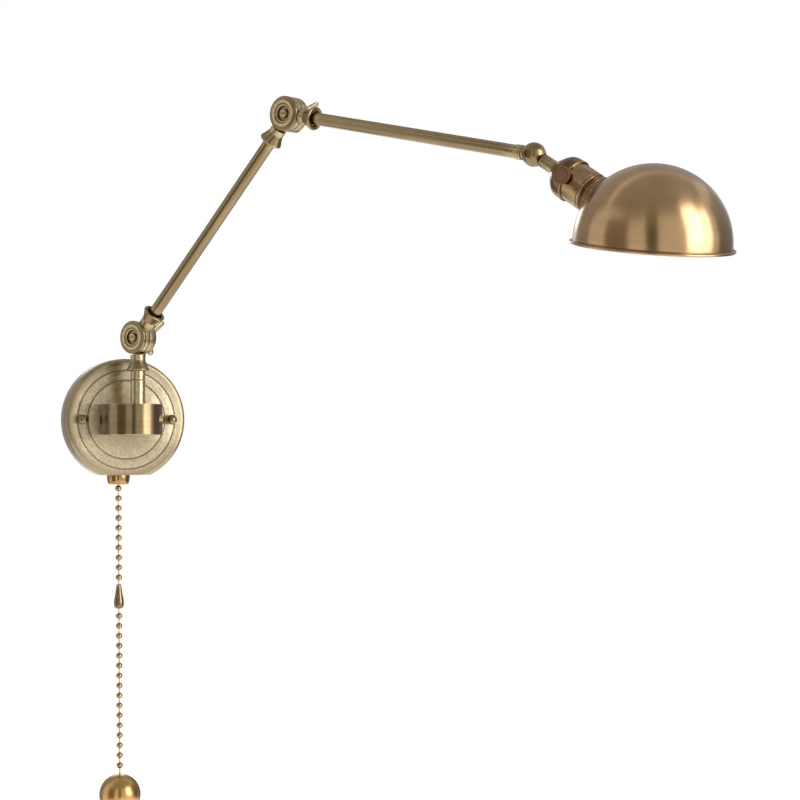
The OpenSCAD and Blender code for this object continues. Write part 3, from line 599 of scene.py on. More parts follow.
class Mesher:
    """Makes finished mesh objects out of rings of points."""

    SHARP = math.radians(42)
    WELD = 1e-4
    RUN_OUT = 30

    @staticmethod
    def rings(
        name: str,
        rings: Sequence[Sequence[Vector]],
        place: Matrix,
        closed: bool = True,
        wear_and_shade: Sequence[float] = (),
    ) -> Thing:
        """Joins rings of equal count into a skin.

        Args:
            name: the object's name.
            rings: the rings in order, each a closed loop of points in millimetres.
            place: the frame the points are in.
            closed: whether the last ring joins the first; otherwise both ends are capped.
            wear_and_shade: the edge attribute of each ring, above 0 worn paler and below 0 painted shade.

        Returns:
            The object, linked to the scene.
        """
        count = len(rings[0])
        bm = bmesh.new()
        edge = bm.verts.layers.float.new("edge")
        uv = bm.loops.layers.uv.new("turned")
        loops = []
        for number, ring in enumerate(rings):
            verts = [bm.verts.new(p) for p in ring]
            for vert in verts:
                vert[edge] = wear_and_shade[number] if wear_and_shade else 0.0
            loops.append(verts)
        spans = len(rings) if closed else len(rings) - 1
        for i in range(spans):
            lower, upper = loops[i], loops[(i + 1) % len(loops)]
            for j in range(count):
                k = (j + 1) % count
                face = bm.faces.new((lower[j], lower[k], upper[k], upper[j]))
                corners = ((j, i), (j + 1, i), (j + 1, i + 1), (j, i + 1))
                for loop, (u, v) in zip(face.loops, corners):
                    loop[uv].uv = (u / count, v / spans)
        if not closed:
            bm.faces.new(loops[0])
            bm.faces.new(loops[-1])
        bmesh.ops.remove_doubles(bm, verts=bm.verts, dist=Mesher.WELD)
        bmesh.ops.delete(bm, geom=[side for side in bm.edges if not side.link_faces], context="EDGES")
        bmesh.ops.recalc_face_normals(bm, faces=bm.faces)
        return Mesher.finish(name, bm, place)

    @staticmethod
    def finish(name: str, bm: bmesh.types.BMesh, place: Matrix) -> Thing:
        """Puts a mesh in its place, in metres, and links its object.

        Args:
            name: the object's name.
            bm: the mesh in millimetres, which is freed.
            place: the frame it is in.

        Returns:
            The object.
        """
        bm.transform(TO_METRES @ place)
        mesh = bpy.data.meshes.new(name)
        bm.to_mesh(mesh)
        bm.free()
        mesh.shade_smooth()
        mesh.set_sharp_from_angle(angle=Mesher.SHARP)
        thing = bpy.data.objects.new(name, mesh)
        bpy.context.scene.collection.objects.link(thing)
        return thing

    @staticmethod
    def turned(
        name: str,
        outline: Sequence[Point] | Eased,
        place: Matrix,
        ease: float = 0.25,
        sectors: int = 96,
    ) -> Thing:
        """Turns a section about local Z.

        Args:
            name: the object's name.
            outline: (radius, height) points round the section, or one that is eased already.
            place: the piece's frame.
            ease: the rounding of its corners.
            sectors: faces round the axis.

        Returns:
            The object.
        """
        section = outline if isinstance(outline, Eased) else Eased.of(outline, ease)
        angles = [2 * math.pi * j / sectors for j in range(sectors)]
        rings = [
            [Vector((r * math.cos(a), r * math.sin(a), z)) for a in angles] for r, z, _ in section.points
        ]
        return Mesher.rings(name, rings, place, wear_and_shade=[w for _, _, w in section.points])

    @staticmethod
    def baked(thing: Thing) -> None:
        """Turns an object's modifiers into a plain mesh, and removes them.

        Args:
            thing: the object.
        """
        bpy.context.view_layer.update()
        mesh = bpy.data.meshes.new_from_object(thing.evaluated_get(bpy.context.evaluated_depsgraph_get()))
        thing.modifiers.clear()
        old, thing.data = thing.data, mesh
        mesh.name = thing.name
        bpy.data.meshes.remove(old)

    @staticmethod
    def combined(way: Way, thing: Thing, *others: Thing) -> Thing:
        """Combines solids with one, and removes them.

        Args:
            way: whether they are cut out of it or joined to it.
            thing: the piece that stays.
            others: the other solids.

        Returns:
            The piece.
        """
        for other in others:
            step = thing.modifiers.new("combine", "BOOLEAN")
            step.operation, step.object, step.solver = way.value, other, "EXACT"
        Mesher.baked(thing)
        for other in others:
            bpy.data.objects.remove(other)
        thing.data.set_sharp_from_angle(angle=Mesher.SHARP)
        return thing

    @staticmethod
    def drilled(thing: Thing, *cutters: Thing) -> Thing:
        """Cuts other objects out of one, and removes them."""
        return Mesher.combined(Way.CUT, thing, *cutters)

    @staticmethod
    def joined(thing: Thing, *others: Thing) -> Thing:
        """Makes one solid of several that overlap."""
        return Mesher.combined(Way.JOIN, thing, *others)

    @staticmethod
    def box(name: str, low: Sequence[float], high: Sequence[float], place: Matrix = Matrix()) -> Thing:
        """A plain block to cut with.

        Args:
            name: the object's name.
            low: its corner of least x, y and z.
            high: the opposite corner.
            place: the frame.

        Returns:
            The block.
        """
        bm = bmesh.new()
        bmesh.ops.create_cube(bm, size=1)
        span = Vector(high) - Vector(low)
        bm.transform(Matrix.Translation(Vector(low) + span / 2) @ Matrix.Diagonal((*span, 1)))
        return Mesher.finish(name, bm, place)

    @staticmethod
    def rod(name: str, radius: float, low: float, high: float, place: Matrix, sectors: int = 48) -> Thing:
        """A plain rod along local Z, to cut with."""
        outline = [(0, low), (radius, low), (radius, high), (0, high)]
        return Mesher.turned(name, outline, place, ease=0.0, sectors=sectors)

    @staticmethod
    def thread(name: str, radius: float, pitch: float, span: Point, height: float, place: Matrix) -> Thing:
        """A ridge that winds round local Z and runs out at both ends.

        Args:
            name: the object's name.
            radius: what it stands on.
            pitch: its rise in one turn.
            span: where its first turn begins and its last turn ends.
            height: how far it stands out.
            place: the frame.

        Returns:
            The ridge.
        """
        around, root = 72, radius - 0.25
        start, end = span
        steps = round((end - start) / pitch * around)
        rings = []
        for i in range(steps + 1):
            a = math.tau * i / around
            share = min(1.0, i / Mesher.RUN_OUT, (steps - i) / Mesher.RUN_OUT)
            crest = radius - FIT + (height + FIT) * share
            z = start + (end - start) * i / steps
            section = ((root, -0.42), (crest, -0.12), (crest, 0.12), (root, 0.42))
            rings.append([Vector((r * math.cos(a), r * math.sin(a), z + dz * pitch)) for r, dz in section])
        return Mesher.rings(name, rings, place, closed=False)


class Repeater:
    """A node tree that sets copies of one piece in a row, or turns them about an axis."""

    INPUTS = {
        "Piece": "Object",
        "Count": "Int",
        "Start": "Vector",
        "Step": "Vector",
        "Axis": "Vector",
        "Turn": "Float",
        "Finish": "Material",
    }
    NODES = {
        "given": "NodeGroupInput",
        "line": "GeometryNodeMeshLine",
        "piece": "GeometryNodeObjectInfo",
        "number": "GeometryNodeInputIndex",
        "angle": "ShaderNodeMath",
        "rotation": "FunctionNodeAxisAngleToRotation",
        "copies": "GeometryNodeInstanceOnPoints",
        "solid": "GeometryNodeRealizeInstances",
        "dressed": "GeometryNodeSetMaterial",
        "out": "NodeGroupOutput",
    }
    LINKS = (
        ("given", "Count", "line", "Count"),
        ("given", "Start", "line", "Start Location"),
        ("given", "Step", "line", "Offset"),
        ("given", "Piece", "piece", "Object"),
        ("number", 0, "angle", 0),
        ("given", "Turn", "angle", 1),
        ("given", "Axis", "rotation", "Axis"),
        ("angle", 0, "rotation", "Angle"),
        ("line", "Mesh", "copies", "Points"),
        ("piece", "Geometry", "copies", "Instance"),
        ("rotation", 0, "copies", "Rotation"),
        ("copies", 0, "solid", 0),
        ("solid", 0, "dressed", "Geometry"),
        ("given", "Finish", "dressed", "Material"),
        ("dressed", 0, "out", 0),
    )

    def __init__(self) -> None:
        """Builds the tree: a line of points, a copy on each, realised and dressed."""
        self.tree = bpy.data.node_groups.new("repeat_piece", "GeometryNodeTree")
        new_socket = self.tree.interface.new_socket
        self.sockets = {
            name: new_socket(name, in_out="INPUT", socket_type=f"NodeSocket{kind}").identifier
            for name, kind in self.INPUTS.items()
        }
        new_socket("Geometry", in_out="OUTPUT", socket_type="NodeSocketGeometry")
        nodes = {name: self.tree.nodes.new(kind) for name, kind in self.NODES.items()}
        nodes["line"].mode = "OFFSET"
        nodes["angle"].operation = "MULTIPLY"
        for source, output, target, entry in self.LINKS:
            self.tree.links.new(nodes[source].outputs[output], nodes[target].inputs[entry])

    def copies(
        self,
        name: str,
        piece: Thing,
        count: int,
        finish: Material,
        start: Vector,
        step: Vector = Vector(),
        axis: Vector = Vector((0, 0, 1)),
        turn_by: float = 0.0,
    ) -> Thing:
        """Repeats a piece that is built round the origin, turned as it will stand.

        Args:
            name: the new object's name.
            piece: what is repeated; it is removed afterwards.
            count: how many.
            finish: the material of all of them.
            start: the first one's place, in millimetres.
            step: from one to the next, in millimetres.
            axis: what they turn about, each round its own place.
            turn_by: degrees from one to the next.

        Returns:
            One plain mesh object with every copy.
        """
        thing = bpy.data.objects.new(name, bpy.data.meshes.new(name))
        bpy.context.scene.collection.objects.link(thing)
        modifier = thing.modifiers.new("repeat", "NODES")
        modifier.node_group = self.tree
        places = (tuple(start * MM), tuple(step * MM), tuple(axis))
        for key, value in zip(self.INPUTS, (piece, count, *places, math.radians(turn_by), finish)):
            modifier[self.sockets[key]] = value
        Mesher.baked(thing)
        bpy.data.objects.remove(piece)
        return thing


def dress(thing: Thing, finish: Material) -> None:
    """Gives an object one material all over."""
    thing.data.materials.clear()
    thing.data.materials.append(finish)


BODY_OF = {node: body for body, nodes in frame["record"]["behaviour"]["bodies"].items() for node in nodes}


class SubAssembly:
    """A group of pieces that are made and dressed together."""

    def build(self) -> None:
        """Builds the group's pieces and dresses its nodes."""
        raise NotImplementedError

    def fit(self, thing: Thing, finish: Material | None, *nodes: str, like: str = "") -> None:
        """Dresses a piece and sets it on its body.

        Args:
            thing: the piece.
            finish: its material, or None if it has one.
            nodes: the solids that it stands for.
            like: without them, the solid whose body it shares.
        """
        if finish:
            dress(thing, finish)
        owner = nodes[0] if nodes else like
        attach(thing, BODY_OF[owner])
        if nodes:
            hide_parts(*nodes)
        LOG.info("%s rides %s", thing.name, BODY_OF[owner])

    def keep(self, finish: Material, *nodes: str) -> None:
        """Gives solids that stay as they are their material.

        Args:
            finish: the material.
            nodes: the solids' names.
        """
        for node in nodes:
            dress(frame["nodes"][node], finish)
            LOG.info("%s keeps its solid", node)


def arc(x: float, y: float, radius: float, start: float, end: float, steps: int) -> list[Point]:
    """Points on an arc of a section.

    Args:
        x: the middle's distance across.
        y: the middle's height.
        radius: the arc's radius.
        start: where it starts, in degrees.
        end: where it ends.
        steps: how many parts it has.

    Returns:
        The points, both ends included.
    """
    turns = [math.radians(start + (end - start) * i / steps) for i in range(steps + 1)]
    return [(x + radius * math.cos(a), y + radius * math.sin(a)) for a in turns]


def flowing(points: Sequence[Point], steps: int = 5) -> list[Point]:
    """A smooth curve through the points of a section.

    Args:
        points: the points that the curve goes through.
        steps: how many parts lie between two of them.

    Returns:
        The curve's points, both ends included.
    """
    known = [Vector(p) for p in (points[0], *points, points[-1])]
    curve = []
    for a, b, c, d in zip(known, known[1:], known[2:], known[3:]):
        for i in range(steps):
            t = i / steps
            bend, twist = 2 * a - 5 * b + 4 * c - d, 3 * b - a - 3 * c + d
            place = 0.5 * (2 * b + (c - a) * t + bend * t**2 + twist * t**3)
            curve.append((place.x, place.y))
    return [*curve, points[-1]]


@dataclass(frozen=True)
class Neck:
    """The neck of a joint's half: a rod along its arm, with a spigot for the arm's tube."""

    root: float
    radius: float
    shoulder: float
    spigot: float
    reach: float
    sectors: int

    def join(self, half: Thing, side: Side, joint: Matrix, gap: float, room: Point) -> Thing:
        """Adds the neck to a half, cut away where the other half turns.

        Args:
            half: the half.
            side: which half it is.
            joint: the joint's frame, +X along this half's arm.
            gap: from the middle plane to the half's face.
            room: the other half's reach along the arm, and across it.

        Returns:
            The half with its neck.
        """
        end = self.shoulder + self.reach
        neck = Mesher.turned("neck", [
            (0, self.root), (self.radius, self.root), (self.radius, self.shoulder),
            (self.spigot, self.shoulder), (self.spigot, end), (0, end),
        ], joint @ along_x(), ease=0.3, sectors=self.sectors)
        ahead, wide = room
        low, high = sorted((-side.value * wide, side.value * gap))
        other = Mesher.box("other", (-1, low, -wide), (ahead, high, wide), joint)
        return Mesher.joined(half, Mesher.drilled(neck, other))


@dataclass
class Canopy(SubAssembly):
    """The spun plate on the wall with its two cap nuts."""

    radius: float = 60.0
    depth: float = LAYOUT.canopy_depth
    wall: float = 1.2
    flat: float = 54.5
    flat_wall: float = 1.4
    shoulder: float = 4.5
    grooves: tuple[float, ...] = (48.5, 38.5)
    groove_half: float = 0.9
    groove_depth: float = 0.55
    stud_reach: float = 44.45
    stud_hole: float = 2.3
    neck_hole: float = 5.3
    nut_ball: float = 5.0
    nut_ball_height: float = 6.8
    nut_neck: float = 3.1
    nut_foot: float = 3.9

    def build(self) -> None:
        """Builds the plate and the cap nuts."""
        self.fit(self.plate(), PLATE_BRASS.dress(from_wall(), "wall"), "canopy")
        self.fit(self.cap_nuts(), None, "cap_nuts")

    def cup(self, name: str, thin: float) -> Thing:
        """The plate's outer form, or the form of its inside.

        Args:
            name: the object's name.
            thin: the thickness that is taken off for the inside, or 0.

        Returns:
            The form, still round.
        """
        low = -1.0 if thin else 0.0
        rim = arc(self.radius - self.shoulder, self.depth - self.shoulder, self.shoulder - thin, 0, 90, 10)
        marks, half, deep = [], self.groove_half, self.depth - self.groove_depth
        for middle in () if thin else self.grooves:
            marks += [(middle + half, self.depth), (middle + half / 3, deep)]
            marks += [(middle - half / 3, deep), (middle - half, self.depth)]
        outline = [(0, low), (self.radius - thin, low), *rim, *marks, (0, self.depth - thin)]
        return Mesher.turned(name, outline, from_wall(), ease=0.3, sectors=144)

    def under(self, rise: float) -> Thing:
        """A block that takes off all that is lower than the flat, plus a rise."""
        wide = self.radius + 1
        return Mesher.box("under", (-wide, -wide, -2 * wide), (wide, 1 + self.depth, rise - self.flat))

    def plate(self) -> Thing:
        """The hollow plate with its flat underside and its holes.

        Returns:
            The plate.
        """
        plate = Mesher.drilled(self.cup("canopy_plate", 0.0), self.under(0.0))
        inside = Mesher.drilled(self.cup("inside", self.wall), self.under(self.flat_wall))
        front, reach = (10, self.depth + 1), self.stud_reach
        holes = [
            Mesher.rod("hole", radius, *front, from_wall(x))
            for radius, x in ((self.neck_hole, 0), (self.stud_hole, -reach), (self.stud_hole, reach))
        ]
        neck = shift(LAYOUT.switch_x, -self.depth / 2, -self.flat)
        holes.append(Mesher.rod("hole", self.neck_hole, -2, 2 * self.flat_wall, neck))
        return Mesher.drilled(plate, inside, *holes)

    def cap_nuts(self) -> Thing:
        """Two round nuts, each a ball on a short neck.

        Returns:
            Both nuts as one mesh.
        """
        middle, foot = self.nut_ball_height, self.nut_foot
        waist = -math.degrees(math.acos(self.nut_neck / self.nut_ball))
        ball = arc(0, middle, self.nut_ball, waist, 90, 14)[:-1]
        outline = [(0, 0), (foot, 0), (foot, 0.8), (self.nut_neck, 1.2), *ball, (0, middle + self.nut_ball)]
        nut = Mesher.turned("cap_nut", outline, turn("X", 90), sectors=48)
        first, step = Vector((-self.stud_reach, -self.depth, 0)), Vector((2 * self.stud_reach, 0, 0))
        return REPEATER.copies("cap_nut_pair", nut, 2, HUB_BRASS.dress(from_wall(), "wall"), first, step)


@dataclass
class Hub(SubAssembly):
    """The block with a round front in which the stem turns, and its cover."""

    half: float = 28.0
    middle: float = 54.0
    height: float = 30.0
    wall: float = 6.0
    top: float = 5.0
    back: float = 6.0
    lip: float = 3.0
    cover: float = 2.5
    bush: float = 9.5
    boss: float = 11.8
    nut_room: float = 10.8
    bush_under: float = -3.5
    bore: float = 5.0
    round_bore: float = 4.5
    flat_bore: float = 1.8
    stem_screw_turn: float = 5.0
    nipple_screw_y: float = -36.5
    post: tuple[float, float] = (19.1, -50.0)
    post_r: float = 3.6
    nipple_bore: float = 5.3
    grub_bore: float = 3.05
    sink: tuple[float, float] = (3.3, 1.3)
    screw_hole: float = 1.8
    cutter_past: float = 9.0

    def build(self) -> None:
        """Builds the block and its cover."""
        finish = HUB_BRASS.dress(shift(0, -self.middle), "hub")
        self.fit(self.block(), finish, "hub_shell")
        self.fit(self.cover_plate(), finish, "hub_cover")

    def plan(self, inset: float, back: float, z: float) -> list[Vector]:
        """The block's outline at one height.

        Args:
            inset: how far it lies inside the outer face.
            back: its back's distance from the wall.
            z: the height.

        Returns:
            The outline's points.
        """
        front = arc(0, -self.middle, self.half - inset, 180, 360, 72)
        side = self.half - inset
        return [Vector((x, y, z)) for x, y in (*front, (side, -back), (-side, -back))]

    def stack(self, name: str, levels: Sequence[tuple[float, float, float]], back: float) -> Thing:
        """A solid of outlines on each other.

        Args:
            name: the object's name.
            levels: (inset, height, wear) from below.
            back: its back's distance from the wall.

        Returns:
            The solid.
        """
        rings = [self.plan(inset, back, z) for inset, z, _ in levels]
        return Mesher.rings(name, rings, Matrix(), closed=False, wear_and_shade=[w for _, _, w in levels])

    def block(self) -> Thing:
        """The hollow block with the bores for its bush, its nut and its grub screws.

        Returns:
            The block.
        """
        low, high, wall_face = -self.height / 2, self.height / 2, LAYOUT.canopy_depth
        block = self.stack("hub_block", (
            (0.6, low, 0.6), (0.18, low + 0.15, 1), (0, low + 0.6, 0.4), (0, low + 1.2, 0),
            (0, high - 1.2, 0), (0, high - 0.6, 0.4), (0.18, high - 0.15, 1), (0.6, high, 0.6),
            (1.4, high, 0),
        ), wall_face)
        floor, roof = low + self.cover, high - self.top
        room = self.stack("room", ((self.wall, floor, 0), (self.wall, roof, 0)), wall_face + self.back)
        boss = Mesher.rod("boss", self.boss, self.bush_under, roof + 1, LAYOUT.stem())
        posts = [Mesher.rod("post", self.post_r, floor - 1, roof + 1, post) for post in self.posts()]
        room = Mesher.drilled(room, boss, *posts)
        ledge = wall_face + self.back - self.lip
        pocket = self.stack("pocket", ((self.lip, low - 1, 0), (self.lip, floor, 0)), ledge)
        ahead = LAYOUT.stem_reach - self.middle
        lean = math.radians(self.stem_screw_turn)
        reach = ahead * math.sin(lean) + math.sqrt(self.half**2 - (ahead * math.cos(lean)) ** 2)
        stem_screw = LAYOUT.stem() @ turn("Z", self.stem_screw_turn) @ turn("Y", 90)
        nipple_screw = shift(0, self.nipple_screw_y) @ turn("Y", -90)
        bores = [Mesher.rod("bore", *sizes) for sizes in (
            (self.bush, self.bush_under - 1, high + 1, LAYOUT.stem()),
            (self.nut_room, floor, self.bush_under, LAYOUT.stem()),
            (self.bore, reach - self.round_bore, reach + self.cutter_past, stem_screw),
            (self.bore, self.half - self.flat_bore, self.half + self.cutter_past, nipple_screw),
            (self.grub_bore, self.bush, reach, stem_screw),
            (self.grub_bore, self.bush, self.half, nipple_screw),
            (self.nipple_bore, wall_face - 1, wall_face + 2 * self.cutter_past, from_wall()),
        )]
        return Mesher.drilled(block, room, pocket, *bores)

    def posts(self, z: float = 0.0) -> list[Matrix]:
        """The places of both screw posts, at a height."""
        return [shift(side * self.post[0], self.post[1], z) for side in (-1, 1)]

    def cover_plate(self) -> Thing:
        """The cover under the block, with two countersunk holes.

        Returns:
            The cover.
        """
        low, inset = -self.height / 2, self.lip + FIT
        plate = self.stack("hub_cover_plate", (
            (inset + 0.5, low, 0.5), (inset + 0.12, low + 0.14, 1), (inset, low + 0.5, 0.3),
            (inset, low + self.cover - FIT, 0),
        ), LAYOUT.canopy_depth + self.back - self.lip + FIT)
        sink, depth = self.sink
        holes = []
        for place in self.posts(low):
            holes.append(Mesher.rod("hole", self.screw_hole, -1, self.cover + 1, place))
            holes.append(Mesher.rod("sink", sink, -1, depth, place))
        return Mesher.drilled(plate, *holes)


@dataclass
class Bell:
    """A cone over a tube's end that opens toward its round lip."""

    neck: float = 7.25
    radius: float = 10.75
    length: float = 10.4
    mouth_wall: float = 3.05
    mouth_depth: float = 4.0
    bend: float = 1.2
    neck_end: float = 22.0

    def mesh(self, name: str, joint: Matrix, tube: float, seat: float = 0.0, spigot: float = 0.0) -> Thing:
        """The bell on the arm of a joint.

        Args:
            name: the object's name.
            joint: the joint's frame, +X along the arm.
            tube: the radius of the tube that it sits on.
            seat: how far inside it the tube's end stands.
            spigot: the radius of the spigot inside that seat.

        Returns:
            The bell.
        """
        nose = self.mouth_wall / 2
        flare = self.length - nose
        mouth = max(self.radius - self.mouth_wall, tube + 1)
        lip = (self.radius - mouth) / 2
        rises = [i / 12 for i in range(13)]
        side = [(self.neck + (self.radius - self.neck) * t**self.bend, flare * t) for t in rises]
        turns = [math.pi * t for t in rises[1:]]
        round_lip = [(mouth + lip + lip * math.cos(a), flare + nose * math.sin(a)) for a in turns]
        deep, bore = self.length - self.mouth_depth, tube + FIT
        inside = [(mouth, deep), (bore, deep)]
        inside += [(bore, seat), (spigot + FIT, seat), (spigot + FIT, 0)] if seat else [(bore, 0)]
        place = joint @ along_x(self.neck_end)
        return Mesher.turned(name, [*side, *round_lip, *inside], place, ease=0.3, sectors=72)


@dataclass
class Knuckle:
    """A tilting joint: two round lugs face to face, a bolt through them and a wing nut behind."""

    lug: float = 16.0
    face: float = 9.5
    middle_gap: float = 0.45
    bolt: float = 3.0
    groove: float = 5.2
    groove_depth: float = 0.8
    corner: float = 1.2
    neck: float = 7.25
    neck_start: float = 16.9
    neck_end: float = 22.0
    spigot: float = 12.0
    recess: float = 7.0
    recess_depth: float = 3.1
    step: float = 0.7
    step_ring: tuple[float, float] = (12.6, 9.6)
    wing_root: tuple[float, float] = (3.6, 14.3)
    wing_tip: tuple[float, float] = (15.5, 25.5)
    wing_widths: tuple[float, float] = (3.4, 3.0)
    wing_backs: tuple[float, float] = (1.9, 1.35)
    nut_height: float = 9.0

    def section(self, side: Side) -> list[Point]:
        """Half of a lug's section: the near one has turned steps round the bolt's head.

        Args:
            side: which half.

        Returns:
            Its points as (radius, height), from the joint's middle plane.
        """
        r, f, g = self.lug, self.face, self.groove
        inner, gap, corner = self.bolt + FIT, self.middle_gap, self.corner
        if side is Side.FAR:
            shoulder = f - 0.2 - corner
            rim = arc(r - corner, shoulder, corner, 15, 90, 4)
            return [(inner, gap), (r, gap), (r, shoulder), *rim, (inner, f - 0.2)]
        low, shoulder = f - self.step, f - self.step - corner
        outer, ring = self.step_ring
        floor, room, groove = f - self.recess_depth, self.recess, r - self.groove_depth
        return [
            (inner, gap), (r, gap), (r, g - 0.5), (groove, g - 0.3), (groove, g + 0.3), (r, g + 0.5),
            (r, shoulder), *arc(r - corner, shoulder, corner, 15, 90, 4), (outer + 0.5, low),
            (outer, low + 0.15), (outer - 0.3, f), (ring, f), (ring - 0.3, low), (room + 0.5, low),
            (room, low - 0.5), (room, floor), (inner, floor),
        ]

    def half(self, name: str, side: Side, joint: Matrix, spigot: float) -> Thing:
        """One lug with its neck and the spigot for its tube.

        Args:
            name: the object's name.
            side: which half.
            joint: the joint's frame, +X along this half's arm.
            spigot: the spigot's radius.

        Returns:
            The half.
        """
        lug = Mesher.turned(name, self.section(side), joint @ side.frame(), ease=0.3, sectors=120)
        neck = Neck(self.face - 0.5, self.neck, self.neck_end, spigot, self.spigot, 60)
        return neck.join(lug, side, joint, self.middle_gap, (self.neck_start, self.lug + 2))

    def bolt_mesh(self, name: str, joint: Matrix) -> Thing:
        """The bolt with its slotted round head in the near lug.

        Args:
            name: the object's name.
            joint: the joint's frame.

        Returns:
            The bolt.
        """
        place = joint @ Side.NEAR.frame()
        floor = self.face - self.recess_depth + FIT
        end = -self.face - self.nut_height + 0.8
        head = [(x, floor + z) for x, z in ((4.3, 0), (4.3, 1.1), *arc(2.9, 1.1, 1.4, 10, 70, 4), (0, 2.5))]
        outline = [(0, end), (self.bolt - 0.5, end), (self.bolt, end + 0.5), (self.bolt, floor), *head]
        bolt = Mesher.turned(name, outline, place, ease=0.2, sectors=48)
        return Mesher.drilled(bolt, Mesher.box("slot", (-8, -0.5, floor + 1.5), (8, 0.5, floor + 4), place))

    def wing(self, place: Matrix, side: int) -> Thing:
        """One wing of the nut: a flat bar with round edges that narrows to a round tip.

        Args:
            place: the nut's frame, local Z out along the bolt.
            side: 1 or -1.

        Returns:
            The wing.
        """
        root, tip = Vector(self.wing_root), Vector(self.wing_tip)
        along = (tip - root).normalized()
        across = Vector((-along.y, along.x))
        (root_wide, tip_wide), (root_back, tip_back) = self.wing_widths, self.wing_backs
        stations = [(root.lerp(tip, i / 8), i / 8, 1.0) for i in range(9)]
        for a in (math.radians(15 * i) for i in range(1, 7)):
            stations.append((tip + along * tip_wide * math.sin(a), 1.0, max(math.cos(a), 0.08)))
        rings = []
        for middle, t, shrink in stations:
            wide = (root_wide * (1 - t) + tip_wide * t) * shrink
            thick = (root_back * (1 - t) + tip_back * t) * shrink**0.6
            ring = []
            for a in (math.tau * i / 20 for i in range(20)):
                u, v = (math.copysign(abs(w) ** 0.75, w) for w in (math.cos(a), math.sin(a)))
                point = middle + across * wide * u
                ring.append(Vector((side * point.x, -thick * v, point.y)))
            rings.append(ring)
        return Mesher.rings("wing", rings, place, closed=False, wear_and_shade=[0.2] * 9 + [0.8] * 6)

    def wing_nut(self, name: str, joint: Matrix) -> Thing:
        """The nut with its two wings and its bore.

        Args:
            name: the object's name.
            joint: the joint's frame, +X along the wings' line.

        Returns:
            The nut.
        """
        low, high = self.face, self.face + self.nut_height
        outline = [(0, low), (7.5, low), (7.5, low + 1), (6.5, low + 1.5), *flowing(
            [(6.4, low + 1.8), (6.0, low + 5), (5.4, high - 0.9), (4.8, high)]), (0, high)]
        place = joint @ Side.FAR.frame()
        hub = Mesher.turned(name, outline, place, ease=0.3, sectors=60)
        nut = Mesher.joined(hub, self.wing(place, 1), self.wing(place, -1))
        return Mesher.drilled(nut, Mesher.rod("bore", self.bolt + FIT, low - 1, high + 1, place))


class Jointed(SubAssembly):
    """A group with the bolt and the wing nut of a tilting joint."""

    def pivot(self, word: str, part: str, place: Vector, wing_turn: float) -> Material:
        """Fits a joint's bolt and its wing nut.

        Args:
            word: what the pieces' names start with.
            part: the joint's word in its finishes' names.
            place: the joint's middle.
            wing_turn: the wing nut's turn from level.

        Returns:
            The finish of the joint's lugs.
        """
        level = LAYOUT.at_joint(place, 0)
        through = level @ Side.NEAR.frame()
        finish = ARM_BRASS.dress(through, part)
        self.fit(KNUCKLE.bolt_mesh(f"{word}_pivot", level), HUB_BRASS.dress(through, part), f"{word}_bolt")
        nut = KNUCKLE.wing_nut(f"{word}_wings", LAYOUT.at_joint(place, wing_turn))
        self.fit(nut, finish, f"{word}_wing_nut")
        return finish


@dataclass
class Mast(Jointed):
    """The stem that turns in the hub, with the lower joint's fixed half and its wing nut."""

    radius: float = 7.0
    wall: float = 1.8
    under: float = -11.0
    top: float = 54.0
    ring: float = 38.0
    ring_half: float = 0.6
    ring_floor: float = 0.2
    ring_depth: float = 0.35
    seat: float = 3.0
    wing_turn: float = 63.0

    def build(self) -> None:
        """Builds the stem, its bell, its knuckle half, the bolt and the wing nut."""
        stem = LAYOUT.stem()
        inner, r, deep = self.radius - self.wall, self.radius, self.radius - self.ring_depth
        tube = Mesher.turned("stem", [
            (inner, self.under), (r, self.under),
            (r, self.ring - self.ring_half), (deep, self.ring - self.ring_floor),
            (deep, self.ring + self.ring_floor), (r, self.ring + self.ring_half),
            (r, self.top), (inner, self.top),
        ], stem, ease=0.2, sectors=72)
        self.fit(tube, TUBE_BRASS.dress(stem, "stem"), "stem_tube")
        down = LAYOUT.at_joint(LAYOUT.lower_joint, -90)
        bell = BELL.mesh("stem_cone", down, r, self.seat, inner - FIT)
        self.fit(bell, ARM_BRASS.dress(stem, "stem"), "stem_bell")
        finish = self.pivot("lower", "lower_joint", LAYOUT.lower_joint, self.wing_turn)
        self.fit(KNUCKLE.half("mast_lug", Side.FAR, down, inner - FIT), finish, "mast_knuckle")


@dataclass
class Swivel:
    """The ball-shaped joint at the lampholder: two half balls and a screw with its seat."""

    ball: float = 10.3
    gap: float = 0.3
    root: float = 4.0
    screw: float = 2.05
    screw_room: float = 3.5
    screw_seat: float = 7.1
    skin: float = 3.0

    def half(self, name: str, side: Side, joint: Matrix, neck: Neck) -> Thing:
        """One half ball with its neck; the near half has the screw's seat.

        Args:
            name: the object's name.
            side: which half.
            joint: the swivel's frame, +X along this half's neck.
            neck: the neck.

        Returns:
            The half.
        """
        place = joint @ side.frame()
        rim = math.degrees(math.asin(self.gap / self.ball))
        outline = [(0, self.gap), *arc(0, 0, self.ball, rim, 90, 24)[:-1], (0, self.ball)]
        half = Mesher.turned(name, outline, place, ease=0.25, sectors=72)
        half = neck.join(half, side, joint, self.gap, (self.ball + 0.5, 2 * self.ball))
        past = self.ball + 1
        if side is Side.FAR:
            return Mesher.drilled(half, Mesher.rod("hole", self.screw, -1, self.ball - self.skin, place))
        seat = Mesher.rod("seat", self.screw_room, self.screw_seat, past, place)
        return Mesher.drilled(half, Mesher.rod("hole", self.screw, -1, past, place), seat)


